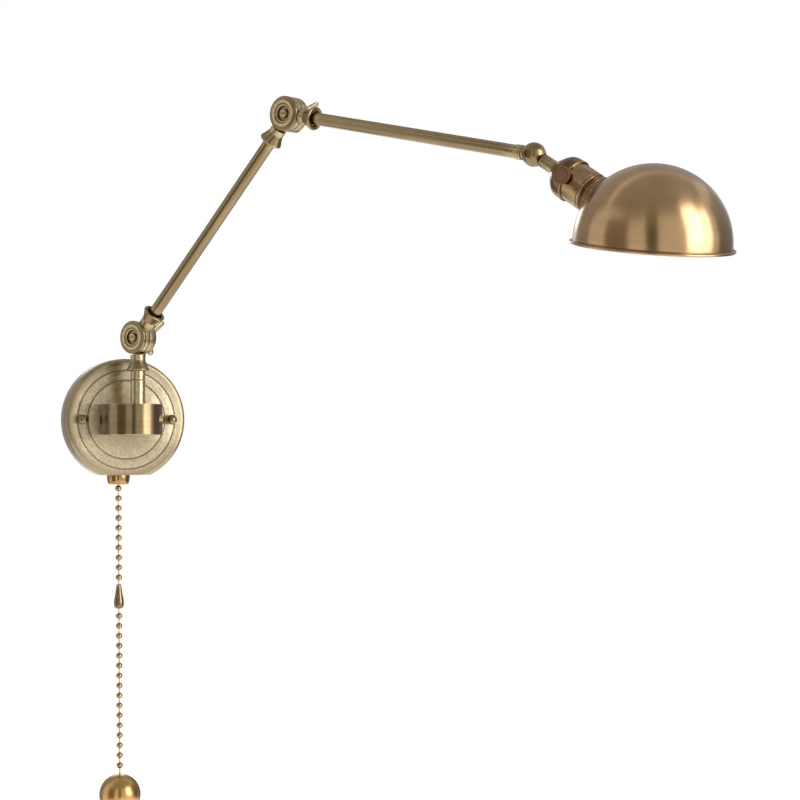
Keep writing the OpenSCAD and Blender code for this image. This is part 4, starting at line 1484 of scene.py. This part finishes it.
@dataclass
class Arms(Jointed):
    """Both arms with their knuckle halves, bells and the elbow's bolt and wing nut."""

    tube: float = 5.75
    wall: float = 1.2
    neck_end: float = 22.0
    ball_neck: float = 5.3
    ball_neck_end: float = 11.4
    ball_spigot: float = 11.5
    ferrule: float = 6.35
    ferrule_length: float = 6.5
    ferrule_line: float = 1.5
    wing_turn: float = 45.0

    def build(self) -> None:
        """Builds both arms."""
        spigot = self.tube - self.wall - FIT
        start = LAYOUT.at_joint(LAYOUT.lower_joint, LAYOUT.lower_tilt)
        back = LAYOUT.at_joint(LAYOUT.elbow_joint, LAYOUT.lower_tilt + 180)
        onward = LAYOUT.at_joint(LAYOUT.elbow_joint, -LAYOUT.upper_fall)
        end = LAYOUT.at_joint(LAYOUT.head_joint, 180 - LAYOUT.upper_fall)
        lower, upper = start @ along_x(), onward @ along_x()
        level = LAYOUT.at_joint(LAYOUT.lower_joint, 0) @ Side.NEAR.frame()
        low_finish = ARM_BRASS.dress(level, "lower_joint")
        high_finish = self.pivot("elbow", "elbow", LAYOUT.elbow_joint, self.wing_turn)
        for name, side, joint, finish, node in (
            ("lower_lug", Side.NEAR, start, low_finish, "lower_arm_knuckle"),
            ("elbow_back_lug", Side.FAR, back, high_finish, "elbow_lower_half"),
            ("elbow_front_lug", Side.NEAR, onward, high_finish, "elbow_upper_half"),
        ):
            self.fit(KNUCKLE.half(name, side, joint, spigot), finish, node)
        for name, joint, arm, part, node in (
            ("lower_cone", start, lower, "lower_arm", "lower_arm_bell"),
            ("lower_end_cone", back, lower, "lower_arm", "lower_arm_end_bell"),
            ("upper_cone", onward, upper, "upper_arm", "upper_arm_bell"),
        ):
            self.fit(BELL.mesh(name, joint, self.tube), ARM_BRASS.dress(arm, part), node)
        for name, arm, part, short in (
            ("lower_tube", lower, "lower_arm", self.neck_end),
            ("upper_tube", upper, "upper_arm", self.ball_neck_end),
        ):
            tube = self.tube_mesh(name, arm, LAYOUT.arm_length - short)
            self.fit(tube, TUBE_BRASS.dress(arm, part), f"{part}_tube")
        self.fit(self.ferrule_mesh(end), HUB_BRASS.dress(upper, "upper_arm"), "upper_arm_ferrule")
        neck = Neck(SWIVEL.root, self.ball_neck, self.ball_neck_end, spigot, self.ball_spigot, 48)
        ball = SWIVEL.half("arm_half_ball", Side.NEAR, end, neck)
        self.fit(ball, ARM_BRASS.dress(LAYOUT.head() @ Side.NEAR.frame(), "swivel"), "head_ball_near")

    def tube_mesh(self, name: str, place: Matrix, end: float) -> Thing:
        """A tube from the knuckle's shoulder to its end.

        Args:
            name: the object's name.
            place: the arm's frame, local Z along it.
            end: how far the tube's end is from the joint.

        Returns:
            The tube.
        """
        inner, start, spans = self.tube - self.wall, self.neck_end, 12
        heights = [start + (end - start) * i / spans for i in range(spans + 1)]
        outline = [*((inner, z) for z in reversed(heights)), *((self.tube, z) for z in heights)]
        return Mesher.turned(name, outline, place, ease=0.2, sectors=64)

    def ferrule_mesh(self, end: Matrix) -> Thing:
        """The collar on the upper arm's end, with two turned lines.

        Args:
            end: the swivel's frame, +X back along the arm.

        Returns:
            The collar.
        """
        low, high, r = self.ball_neck_end, self.ball_neck_end + self.ferrule_length, self.ferrule
        bore, lines = self.tube + FIT, []
        for z in (low + self.ferrule_line, high - self.ferrule_line):
            lines += [(r, z - 0.35), (r - 0.2, z - 0.1), (r - 0.2, z + 0.1), (r, z + 0.35)]
        outline = [(bore, low), (r, low), *lines, (r, high), (bore, high)]
        return Mesher.turned("arm_ferrule", outline, end @ along_x(), ease=0.35, sectors=64)


@dataclass
class Lampholder(SubAssembly):
    """The socket with its cap, its knob and the collar that carries the shade."""

    cap_start: float = 25.5
    cap_floor: float = 3.0
    cap_rim: float = 48.0
    cap_r: float = 18.7
    cap_wall: float = 1.3
    cap_curve: tuple[Point, ...] = ((7, 0), (8.5, 1.5), (12, 5), (15, 8), (17.5, 11.5), (18.4, 15))
    spigot: float = 4.9
    spigot_reach: float = 7.0
    neck: float = 5.9
    shell_r: float = 17.25
    shell_wall: float = 0.9
    shell_start: float = 42.3
    shell_end: float = 67.5
    thread_r: float = 16.6
    thread_end: float = 87.8
    thread_pitch: float = 1.7
    thread_height: float = 0.35
    knob_along: float = 46.1
    knob_turn: float = 9.0
    knob_r: float = 7.6
    knob_stem: float = 2.95
    knob_foot: float = 16.05
    knob_under: float = 18.95
    knob_thickness: float = 2.4
    knob_ribs: int = 40
    collar_reach: float = 85.5
    collar_ribs: int = 72
    bulb_r: float = 13.3
    bulb_thread: float = 0.35
    screw_start: float = 66.5
    screw_end: float = 85.0
    screw_pitch: float = 3.63
    screw_half_wall: float = 0.2

    def build(self) -> None:
        """Builds the socket from its neck to its collar."""
        head = LAYOUT.head()
        axis, knob = head @ along_x(), self.knob_frame()
        finish = HOLDER_BRASS.dress(axis, "head")
        neck = Neck(SWIVEL.root, self.neck, self.cap_start, self.spigot, self.spigot_reach, 48)
        ball = SWIVEL.half("holder_half_ball", Side.FAR, head, neck)
        self.fit(ball, ARM_BRASS.dress(head @ Side.NEAR.frame(), "swivel"), "head_ball_far")
        for piece, node in ((self.cap(axis), "socket_cap"), (self.shell(axis), "socket_shell")):
            hole = Mesher.rod("hole", self.knob_stem + FIT, 10, 40, knob)
            self.fit(Mesher.drilled(piece, hole), finish, node)
        span, pitch = (self.shell_end + 0.9, self.thread_end - 0.6), self.thread_pitch
        thread = Mesher.thread("shell_thread", self.thread_r, pitch, span, self.thread_height, axis)
        self.fit(thread, finish, like="socket_shell")
        self.knob(knob)
        self.fit(self.screw_shell(axis), RAW_BRASS.dress(axis, "head"), "screw_shell")
        self.collar(axis, finish)

    def knob_frame(self) -> Matrix:
        """Local Z out of the socket through the knob."""
        return LAYOUT.head() @ shift(self.knob_along) @ turn("X", 90 - self.knob_turn)

    def cap(self, axis: Matrix) -> Thing:
        """The cap: a bell-shaped cup with a beaded rim.

        Args:
            axis: the socket's frame.

        Returns:
            The cap.
        """
        curve, wall, start = flowing(self.cap_curve, 4), self.cap_wall, self.cap_start
        outer = [(x, start + z) for x, z in curve]
        inner = [(x - 0.75 * wall, start + z + 0.75 * wall) for x, z in curve[5:-3]]
        rim, r, bore = self.cap_rim, self.cap_r, self.spigot + FIT
        bead = arc(r - 0.35, rim - 1.0, 0.55, -60, 70, 5)
        return Mesher.turned("holder_cap", [
            (bore, start), *outer, (r - 0.25, rim - 2.4), (r - 0.25, rim - 2.1), *bead, (r - 0.3, rim),
            (r - wall, rim), (r - wall, start + 16.5), *reversed(inner), (bore, start + self.cap_floor),
        ], axis)

    def shell(self, axis: Matrix) -> Thing:
        """The shell, narrower where the shade's collar screws on.

        Args:
            axis: the socket's frame.

        Returns:
            The shell.
        """
        r, t, wall = self.shell_r, self.thread_r, self.shell_wall
        start, z, end = self.shell_start, self.shell_end, self.thread_end
        return Mesher.turned("holder_shell", [
            (r - wall, start), (r, start), (r, z - 3.2), (r - 0.25, z - 2.9), (r - 0.25, z - 2.5),
            (r, z - 2.2), (r, z - 0.6), (r - 0.3, z), (t, z + 0.4), (t, end), (t - wall, end),
            (t - wall, z - 0.8), (r - wall, z - 1.4),
        ], axis)

    def screw_shell(self, axis: Matrix) -> Thing:
        """The thin shell rolled into the screw thread that takes the bulb.

        Args:
            axis: the socket's frame.

        Returns:
            The shell.
        """
        length, sectors = self.screw_end - self.screw_start, 72
        steps = round(length / 0.3)
        heights = [self.screw_start + length * i / steps for i in range(steps + 1)]
        rings = []
        for thick, way in ((self.screw_half_wall, heights), (-self.screw_half_wall, heights[::-1])):
            for z in way:
                rings.append([])
                for a in (math.tau * j / sectors for j in range(sectors)):
                    wave = self.bulb_thread * math.cos(math.tau * z / self.screw_pitch - a)
                    r = self.bulb_r - FIT + thick + wave
                    rings[-1].append(Vector((r * math.cos(a), r * math.sin(a), z)))
        return Mesher.rings("bulb_thread", rings, axis)

    def knob(self, place: Matrix) -> None:
        """The knob: a flat disc on a stem, ribbed round its edge.

        Args:
            place: the knob's frame.
        """
        r, stem, foot, under = self.knob_r, self.knob_stem, self.knob_foot, self.knob_under
        top = under + self.knob_thickness
        finish = KNOB_BROWN.dress()
        disc = Mesher.turned("knob_disc", [
            (0, foot), (stem, foot), (stem, under), (r - 0.4, under), (r, under + 0.4), (r, top - 0.6),
            *arc(r - 0.7, top - 0.6, 0.6, 10, 80, 4), (r - 1.4, top - 0.05), (r - 1.7, top - 0.2),
            (r - 2.0, top - 0.2), (r - 2.3, top - 0.02), (0, top + 0.1),
        ], place, ease=0.2, sectors=80)
        self.fit(disc, finish, "socket_knob")
        ribs = self.ribs("knob_ribs", place, r, (under + 0.5, top - 0.7), self.knob_ribs, 0.22, finish)
        self.fit(ribs, None, like="socket_knob")

    def ribs(self, name: str, place: Matrix, radius: float, span: Point, count: int, height: float,
             finish: Material) -> Thing:
        """Ribs along an edge, all round it.

        Args:
            name: the object's name.
            place: the frame of the round piece.
            radius: the radius that they stand on.
            span: where they start and end along local Z.
            count: how many.
            height: how far they stand out.
            finish: their material.

        Returns:
            One mesh with all of them.
        """
        half, root = 0.36 * math.tau * radius / count, radius - 0.3
        low, high = span
        middle = (low + high) / 2
        turns = [math.pi * i / 5 for i in range(6)]
        crest = [(radius + height * math.sin(a), -half * math.cos(a)) for a in turns]
        levels = ((0.99, low), (1.0, low + 0.25), (1.0, high - 0.25), (0.99, high))
        rings = [
            [Vector((x * k, y * k**20, z - middle)) for x, y in ((root, -half), *crest, (root, half))]
            for k, z in levels
        ]
        turned = place.to_3x3().to_4x4()
        rib = Mesher.rings("rib", rings, turned, closed=False)
        start, way = place @ Vector((0, 0, middle)), turned @ Vector((0, 0, 1))
        return REPEATER.copies(name, rib, count, finish, start, axis=way, turn_by=360 / count)

    def collar(self, axis: Matrix, finish: Material) -> None:
        """The ribbed collar, cut to the dome that it holds.

        Args:
            axis: the socket's frame.
            finish: its material.
        """
        t, r, z, reach = self.thread_r + FIT, LAYOUT.collar_r, LAYOUT.collar_start, self.collar_reach
        collar = Mesher.turned("shade_holder", [
            (t, z), (r - 0.9, z), (r - 0.8, z + 1.0), (r - 0.5, z + 1.5), (r - 0.5, z + 1.9),
            (r - 0.8, z + 2.3), (r - 0.7, z + 2.6), (r, z + 3.8), (r, reach), (t, reach),
        ], axis, ease=0.3)
        self.fit(Mesher.drilled(collar, SHADE.ball(FIT)), finish, "shade_collar")
        ribs = self.ribs("collar_ribs", axis, r, (z + 4.1, reach), self.collar_ribs, 0.3, finish)
        self.fit(Mesher.drilled(ribs, SHADE.ball(0.4 * FIT)), finish, like="shade_collar")


@dataclass
class Shade(SubAssembly):
    """The domed shade with its flange and rolled rim."""

    radius: float = 65.0
    wall: float = 1.0
    edge: float = 0.9
    flange: float = 66.5
    flange_wall: float = 1.1
    roll: float = 1.2
    hole: float = 17.0
    drop: float = 6.9
    collar_length: float = 5.0
    lean_back: float = 23.4
    twist: float = 6.7

    def axis(self) -> Matrix:
        """The frame of the dome's middle, local Z up its axis.

        Returns:
            The frame.
        """
        rise = math.sqrt(self.radius**2 - (LAYOUT.collar_r - self.drop) ** 2)
        middle = shift(LAYOUT.collar_start + self.collar_length + rise, 0, -self.drop)
        return LAYOUT.head() @ middle @ turn("X", self.twist) @ turn("Y", -self.lean_back)

    def ball(self, more: float) -> Thing:
        """A ball as large as the dome, plus a gap.

        Args:
            more: the gap.

        Returns:
            The ball, to cut with.
        """
        r = self.radius + more
        skin = [(0, -r), *arc(0, 0, r, -90, 90, 120)[1:-1], (0, r)]
        return Mesher.turned("ball", skin, self.axis(), sectors=180)

    def build(self) -> None:
        """Builds the dome with its hole, its flange and its rim."""
        r, thin, low = self.radius, self.radius - self.wall, -self.edge
        start, floor = math.degrees(math.asin(low / r)), low - self.flange_wall
        outer, inner = arc(0, 0, r, 90, start, 64), arc(0, 0, thin, start, 90, 64)
        roll = arc(self.flange, low - self.roll, self.roll, 90, -185, 18)
        outline = [(0, r), *outer[1:], *roll, (r, floor), (thin, floor), *inner[:-1], (0, thin)]
        dome = Mesher.turned("dome", outline, self.axis(), ease=0.5, sectors=180)
        head, collar = LAYOUT.head() @ along_x(), LAYOUT.collar_start
        hole = Mesher.rod("hole", self.hole, collar, collar + r / 2, head, 96)
        self.fit(Mesher.drilled(dome, hole), SHADE_BRASS.dress(self.axis(), "shade"), "shade")


@dataclass
class PullChain(SubAssembly):
    """The nozzle, two lengths of bead chain, the connector between them and the ball."""

    bead: float = 3.15
    mouth: float = 0.3
    wire: float = 0.65
    pitch: float = 9.75
    upper_beads: int = 10
    lower_beads: int = 16
    first: float = 3.75
    in_sight: float = 3.5
    connector_length: float = 24.0
    ball_wall: float = 1.2
    nozzle_height: float = 9.6
    nozzle_bore: float = 5.05
    nozzle_mouth: float = 3.9
    nozzle_floor: float = 1.95

    def build(self) -> None:
        """Builds the chain from the nozzle down."""
        place, drop = LAYOUT.chain(), LAYOUT.ball_drop
        gold = CHAIN_BRASS.dress(place, "chain")
        connector = self.first + (self.upper_beads - 1) * self.pitch + self.bead + self.in_sight
        lower = connector + self.connector_length + self.bead + self.in_sight + self.wire
        middle = shift(LAYOUT.switch_x, -LAYOUT.canopy_depth / 2)
        self.fit(self.nozzle(), POLISHED_GOLD.dress(middle, "nozzle"), "switch_nozzle")
        self.length("upper", self.first, self.upper_beads, self.upper_beads, 0, gold)
        self.fit(self.connector(connector), HUB_BRASS.dress(place, "chain"), "chain_connector")
        self.length("lower", lower, self.lower_beads, self.lower_beads + 1, -1, gold)
        self.fit(self.pull_ball(drop), BALL_BRASS.dress(LAYOUT.chain(drop), "ball"), "pull_ball")

    def nozzle(self) -> Thing:
        """The polished nut round the chain's way out.

        Returns:
            The nut.
        """
        top, bore, mouth, floor = self.nozzle_height, self.nozzle_bore, self.nozzle_mouth, self.nozzle_floor
        curve = flowing([(9.1, 0.35), (10.2, 1.6), (10.9, 4), (11.3, 7.4), (11.3, 9.0)])
        inside = [(bore, top), (bore, floor), (mouth, floor)]
        outline = [(mouth, 0.4), (4.3, 0), (8.2, 0), *curve, (11.0, top), *inside]
        place = shift(LAYOUT.switch_x, -LAYOUT.canopy_depth / 2, LAYOUT.nozzle_under)
        return Mesher.turned("chain_nozzle", outline, place)

    def length(self, name: str, first: float, beads: int, links: int, before: int, finish: Material) -> None:
        """One length of chain: hollow beads and the wires between them.

        Args:
            name: which length.
            first: the first bead's drop below the nozzle.
            beads: how many beads.
            links: how many wires.
            before: -1 if a wire comes before the first bead, otherwise 0.
            finish: the material.
        """
        r, wire, lean = self.bead, self.wire, turn("X", -LAYOUT.chain_lean)
        skin = [(0, self.mouth - r), *arc(0, 0, r, -76, 76, 14), (0, r - self.mouth)]
        bead = Mesher.turned("bead", skin, lean, ease=0.15, sectors=28)
        link = Mesher.turned("wire", [(0, -r), (wire, -r), (wire, r), (0, r)], lean, sectors=12)
        top = LAYOUT.chain(first).translation
        step = LAYOUT.chain(self.pitch).translation - LAYOUT.chain().translation
        self.fit(REPEATER.copies(f"{name}_beads", bead, beads, finish, top, step), None, f"{name}_chain")
        wires = REPEATER.copies(f"{name}_wires", link, links, finish, top + step * (0.5 + before), step)
        self.fit(wires, None, like=f"{name}_chain")

    def connector(self, start: float) -> Thing:
        """The turned coupling between the two lengths.

        Args:
            start: its top's drop below the nozzle.

        Returns:
            The coupling.
        """
        length = self.connector_length
        curve = flowing([
            (2.6, 0.1), (3.6, 0.7), (4.45, 2.2), (4.8, 5), (4.7, 8.5), (4.0, 12), (3.0, 18), (2.6, 21),
        ])
        outline = [(0, 0), *curve, (2.5, length - 1.2), (1.8, length), (0, length)]
        return Mesher.turned("chain_coupling", outline, LAYOUT.chain(start + length), ease=0.3, sectors=48)

    def pull_ball(self, drop: float) -> Thing:
        """The hollow ball with a small hole for the chain.

        Args:
            drop: its middle's drop below the nozzle.

        Returns:
            The ball.
        """
        r, thin, hole = LAYOUT.ball_r, LAYOUT.ball_r - self.ball_wall, self.wire + 0.15
        rim = math.degrees(math.acos(hole / r))
        outer, inner = arc(0, 0, r, -90, rim, 72), arc(0, 0, thin, rim - 0.2, -90, 60)
        outline = [(0, -r), *outer[1:], *inner[:-1], (0, -thin)]
        return Mesher.turned("chain_ball", outline, LAYOUT.chain(drop), ease=0.4, sectors=120)


@dataclass
class KeptSolids(SubAssembly):
    """The solids that stay as they are, each in its finish."""

    def build(self) -> None:
        """Dresses the solids that no piece stands for."""
        wall, stem, head = from_wall(), LAYOUT.stem(), LAYOUT.head() @ along_x()
        self.keep(ZINC_STEEL.dress(wall, "wall"), "mounting_bracket", "bracket_studs", "stud_nuts",
                  "cover_screws", "stem_set_screw", "nipple_set_screw", "pull_rod")
        self.keep(GROUND_GREEN.dress(wall, "wall"), "ground_screw")
        self.keep(RAW_BRASS.dress(wall, "wall"), "hub_nipple", "nipple_nuts")
        self.keep(RAW_BRASS.dress(stem, "stem"), "swivel_bush", "stem_nut")
        self.keep(FIBRE.dress(), "thrust_washer", "lower_washer", "elbow_washer", "head_washer")
        self.keep(SWITCH_PLASTIC.dress(), "switch_body")
        self.keep(HUB_BRASS.dress(head, "head"), "head_screw")
        self.keep(RAW_BRASS.dress(head, "head"), "cap_lock_nut", "centre_contact", "shade_ring")
        self.keep(PORCELAIN.dress(), "socket_insert")


KNUCKLE = Knuckle()
BELL = Bell()
SWIVEL = Swivel()
SHADE = Shade()
REPEATER = Repeater()


@dataclass(frozen=True)
class Panel:
    """A rectangle round the object that faces its middle, in degrees and millimetres.

    Azimuth 0 is in front of the wall and 90 to the right.
    """

    name: str
    azimuth: float
    elevation: float
    distance: float
    width: float
    height: float

    def place(self, middle: Vector) -> Matrix:
        """The panel's frame in metres, -Z toward the object.

        Args:
            middle: the object's middle.

        Returns:
            The frame.
        """
        a, e = math.radians(self.azimuth), math.radians(self.elevation)
        out = Vector((math.sin(a) * math.cos(e), -math.cos(a) * math.cos(e), math.sin(e)))
        turned = out.to_track_quat("Z", "Y").to_matrix().to_4x4()
        return Matrix.Translation((middle + out * self.distance) * MM) @ turned


@dataclass(frozen=True)
class Softbox(Panel):
    """A rectangular lamp."""

    power: float

    def build(self, middle: Vector) -> None:
        """Makes the lamp.

        Args:
            middle: the object's middle.
        """
        data = bpy.data.lights.new(self.name, "AREA")
        data.shape, data.energy = "RECTANGLE", self.power
        data.size, data.size_y = self.width * MM, self.height * MM
        lamp = bpy.data.objects.new(self.name, data)
        lamp.matrix_world = self.place(middle)
        bpy.context.scene.collection.objects.link(lamp)


@dataclass(frozen=True)
class Card(Panel):
    """A card that only the metal's reflections see, lighter toward its top."""

    tone: float
    tint: Colour = (1.0, 1.0, 1.0)
    top_tone: float = 0.5

    def build(self, middle: Vector) -> None:
        """Makes the card.

        Args:
            middle: the object's middle.
        """
        bm = bmesh.new()
        bmesh.ops.create_grid(bm, x_segments=1, y_segments=1, size=0.5)
        bmesh.ops.scale(bm, vec=(self.width, self.height, 1), verts=bm.verts)
        name, reach, top = f"card_{self.name}", self.height * MM / 2, max(self.tone, self.top_tone)
        thing = Mesher.finish(name, bm, Matrix())
        thing.matrix_world = self.place(middle)
        graph = Graph(bpy.data.materials.new(name))
        rise = graph.add("SeparateXYZ", {0: graph.object_place()}).outputs[1]
        upward = graph.add("MapRange", {0: rise, 1: 0.1 * reach, 2: reach, 3: self.tone, 4: top})
        graph.show(graph.add("Emission", {"Color": self.tint, "Strength": upward.outputs[0]}))
        dress(thing, graph.owner)
        thing.visible_camera = thing.visible_diffuse = thing.visible_shadow = False
        thing.visible_transmission = thing.visible_volume_scatter = False


@dataclass
class Studio:
    """Camera, floor, world, lamps and cards."""

    eye: tuple[float, float, float] = (-529.1, -2160.7, -12.4)
    yaw: float = 20.935
    pitch: float = 0.831
    focal_px: float = 2220.0
    frame_px: float = 800.0
    sensor: float = 36.0
    middle: tuple[float, float, float] = (150.0, -280.0, -40.0)
    floor_z: float = -900.0
    floor_half: float = 6000.0
    floor_glow: float = 0.62
    daylight: float = 0.55
    panels: tuple[Softbox | Card, ...] = (
        Softbox("main", 33, 17, 1900, 620, 1700, 17),
        Softbox("right", 50, 12, 1900, 640, 1600, 11),
        Softbox("back", 170, 30, 2400, 1500, 1200, 14),
        Card("behind_left", -150, 0, 1800, 1500, 2600, 0.4),
        Card("behind", 178, 44, 2300, 4400, 2200, 0.5),
        Card("left", -72, 0, 1800, 1250, 2600, 0.3, (1.0, 0.84, 0.7)),
        Card("camera_side", -20, 10, 1850, 500, 2300, 0.13, (0.95, 1.0, 0.65)),
        Card("right", 98, 0, 1800, 1700, 2600, 0.25),
        Card("behind_right", 145, 0, 1800, 1200, 2600, 0.2),
        Card("low_front", 5, -62, 1500, 1400, 900, 0.2),
        Card("ceiling", 0, 70, 2100, 4200, 2600, 0.5),
    )

    def build(self) -> None:
        """Makes everything round the object."""
        self.camera()
        self.world()
        self.floor()
        for panel in self.panels:
            panel.build(Vector(self.middle))

    def camera(self) -> None:
        """The camera at the photograph's place."""
        yaw, pitch = math.radians(self.yaw), math.radians(self.pitch)
        ahead = Vector((math.sin(yaw) * math.cos(pitch), math.cos(yaw) * math.cos(pitch), math.sin(pitch)))
        right = Vector((math.cos(yaw), -math.sin(yaw), 0))
        turned = Matrix((right, right.cross(ahead), -ahead)).transposed().to_4x4()
        data = bpy.data.cameras.new("camera")
        data.sensor_width, data.lens = self.sensor, self.focal_px / self.frame_px * self.sensor
        data.clip_start, data.clip_end = 0.05, 100
        camera = bpy.data.objects.new("camera", data)
        camera.matrix_world = Matrix.Translation(Vector(self.eye) * MM) @ turned
        bpy.context.scene.collection.objects.link(camera)
        bpy.context.scene.camera = camera

    def world(self) -> None:
        """A plain world, white to the eye and to reflections, and dimmer as a light."""
        graph = Graph(bpy.data.worlds.new("studio"))
        bpy.context.scene.world = graph.owner
        rays = graph.add("LightPath").outputs
        seen = graph.math("ADD", rays["Is Camera Ray"], rays["Is Glossy Ray"])
        through = {0: seen, 1: rays["Is Transmission Ray"]}
        either = graph.add("Math", through, operation="ADD", use_clamp=True)
        plain, white = (
            graph.add("Background", {"Color": (1, 1, 1), "Strength": level}).outputs[0]
            for level in (self.daylight, 1.0)
        )
        graph.show(graph.add("MixShader", {0: either.outputs[0], 1: plain, 2: white}))

    def floor(self) -> None:
        """A wide pale floor well under the lamp."""
        bm = bmesh.new()
        bmesh.ops.create_grid(bm, x_segments=2, y_segments=2, size=self.floor_half)
        floor = Mesher.finish("floor", bm, shift(0, 0, self.floor_z))
        graph = Graph(bpy.data.materials.new("pale_floor"))
        cloud = graph.math("MULTIPLY", graph.noise(graph.object_place(), 3.0, 3.0), 0.06)
        tone = graph.mix(cloud, (0.94, 0.94, 0.94), (0.82, 0.82, 0.82))
        pale = graph.surface(Base_Color=tone, Roughness=0.8)
        glow = graph.add("Emission", {"Color": (1, 1, 1), "Strength": self.floor_glow})
        graph.show(graph.add("AddShader", {0: pale.outputs[0], 1: glow.outputs[0]}))
        dress(floor, graph.owner)


def main() -> None:
    """Builds the lamp's looks and the studio, and reports each piece."""
    logging.basicConfig(level=logging.INFO, format="%(name)s: %(message)s")
    bpy.context.scene.view_settings.view_transform = "Standard"
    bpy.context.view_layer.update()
    Studio().build()
    for group in (Canopy(), Hub(), Mast(), Arms(), Lampholder(), SHADE, PullChain(), KeptSolids()):
        LOG.info("building %s", type(group).__name__)
        group.build()


if __name__ == "__main__":
    main()
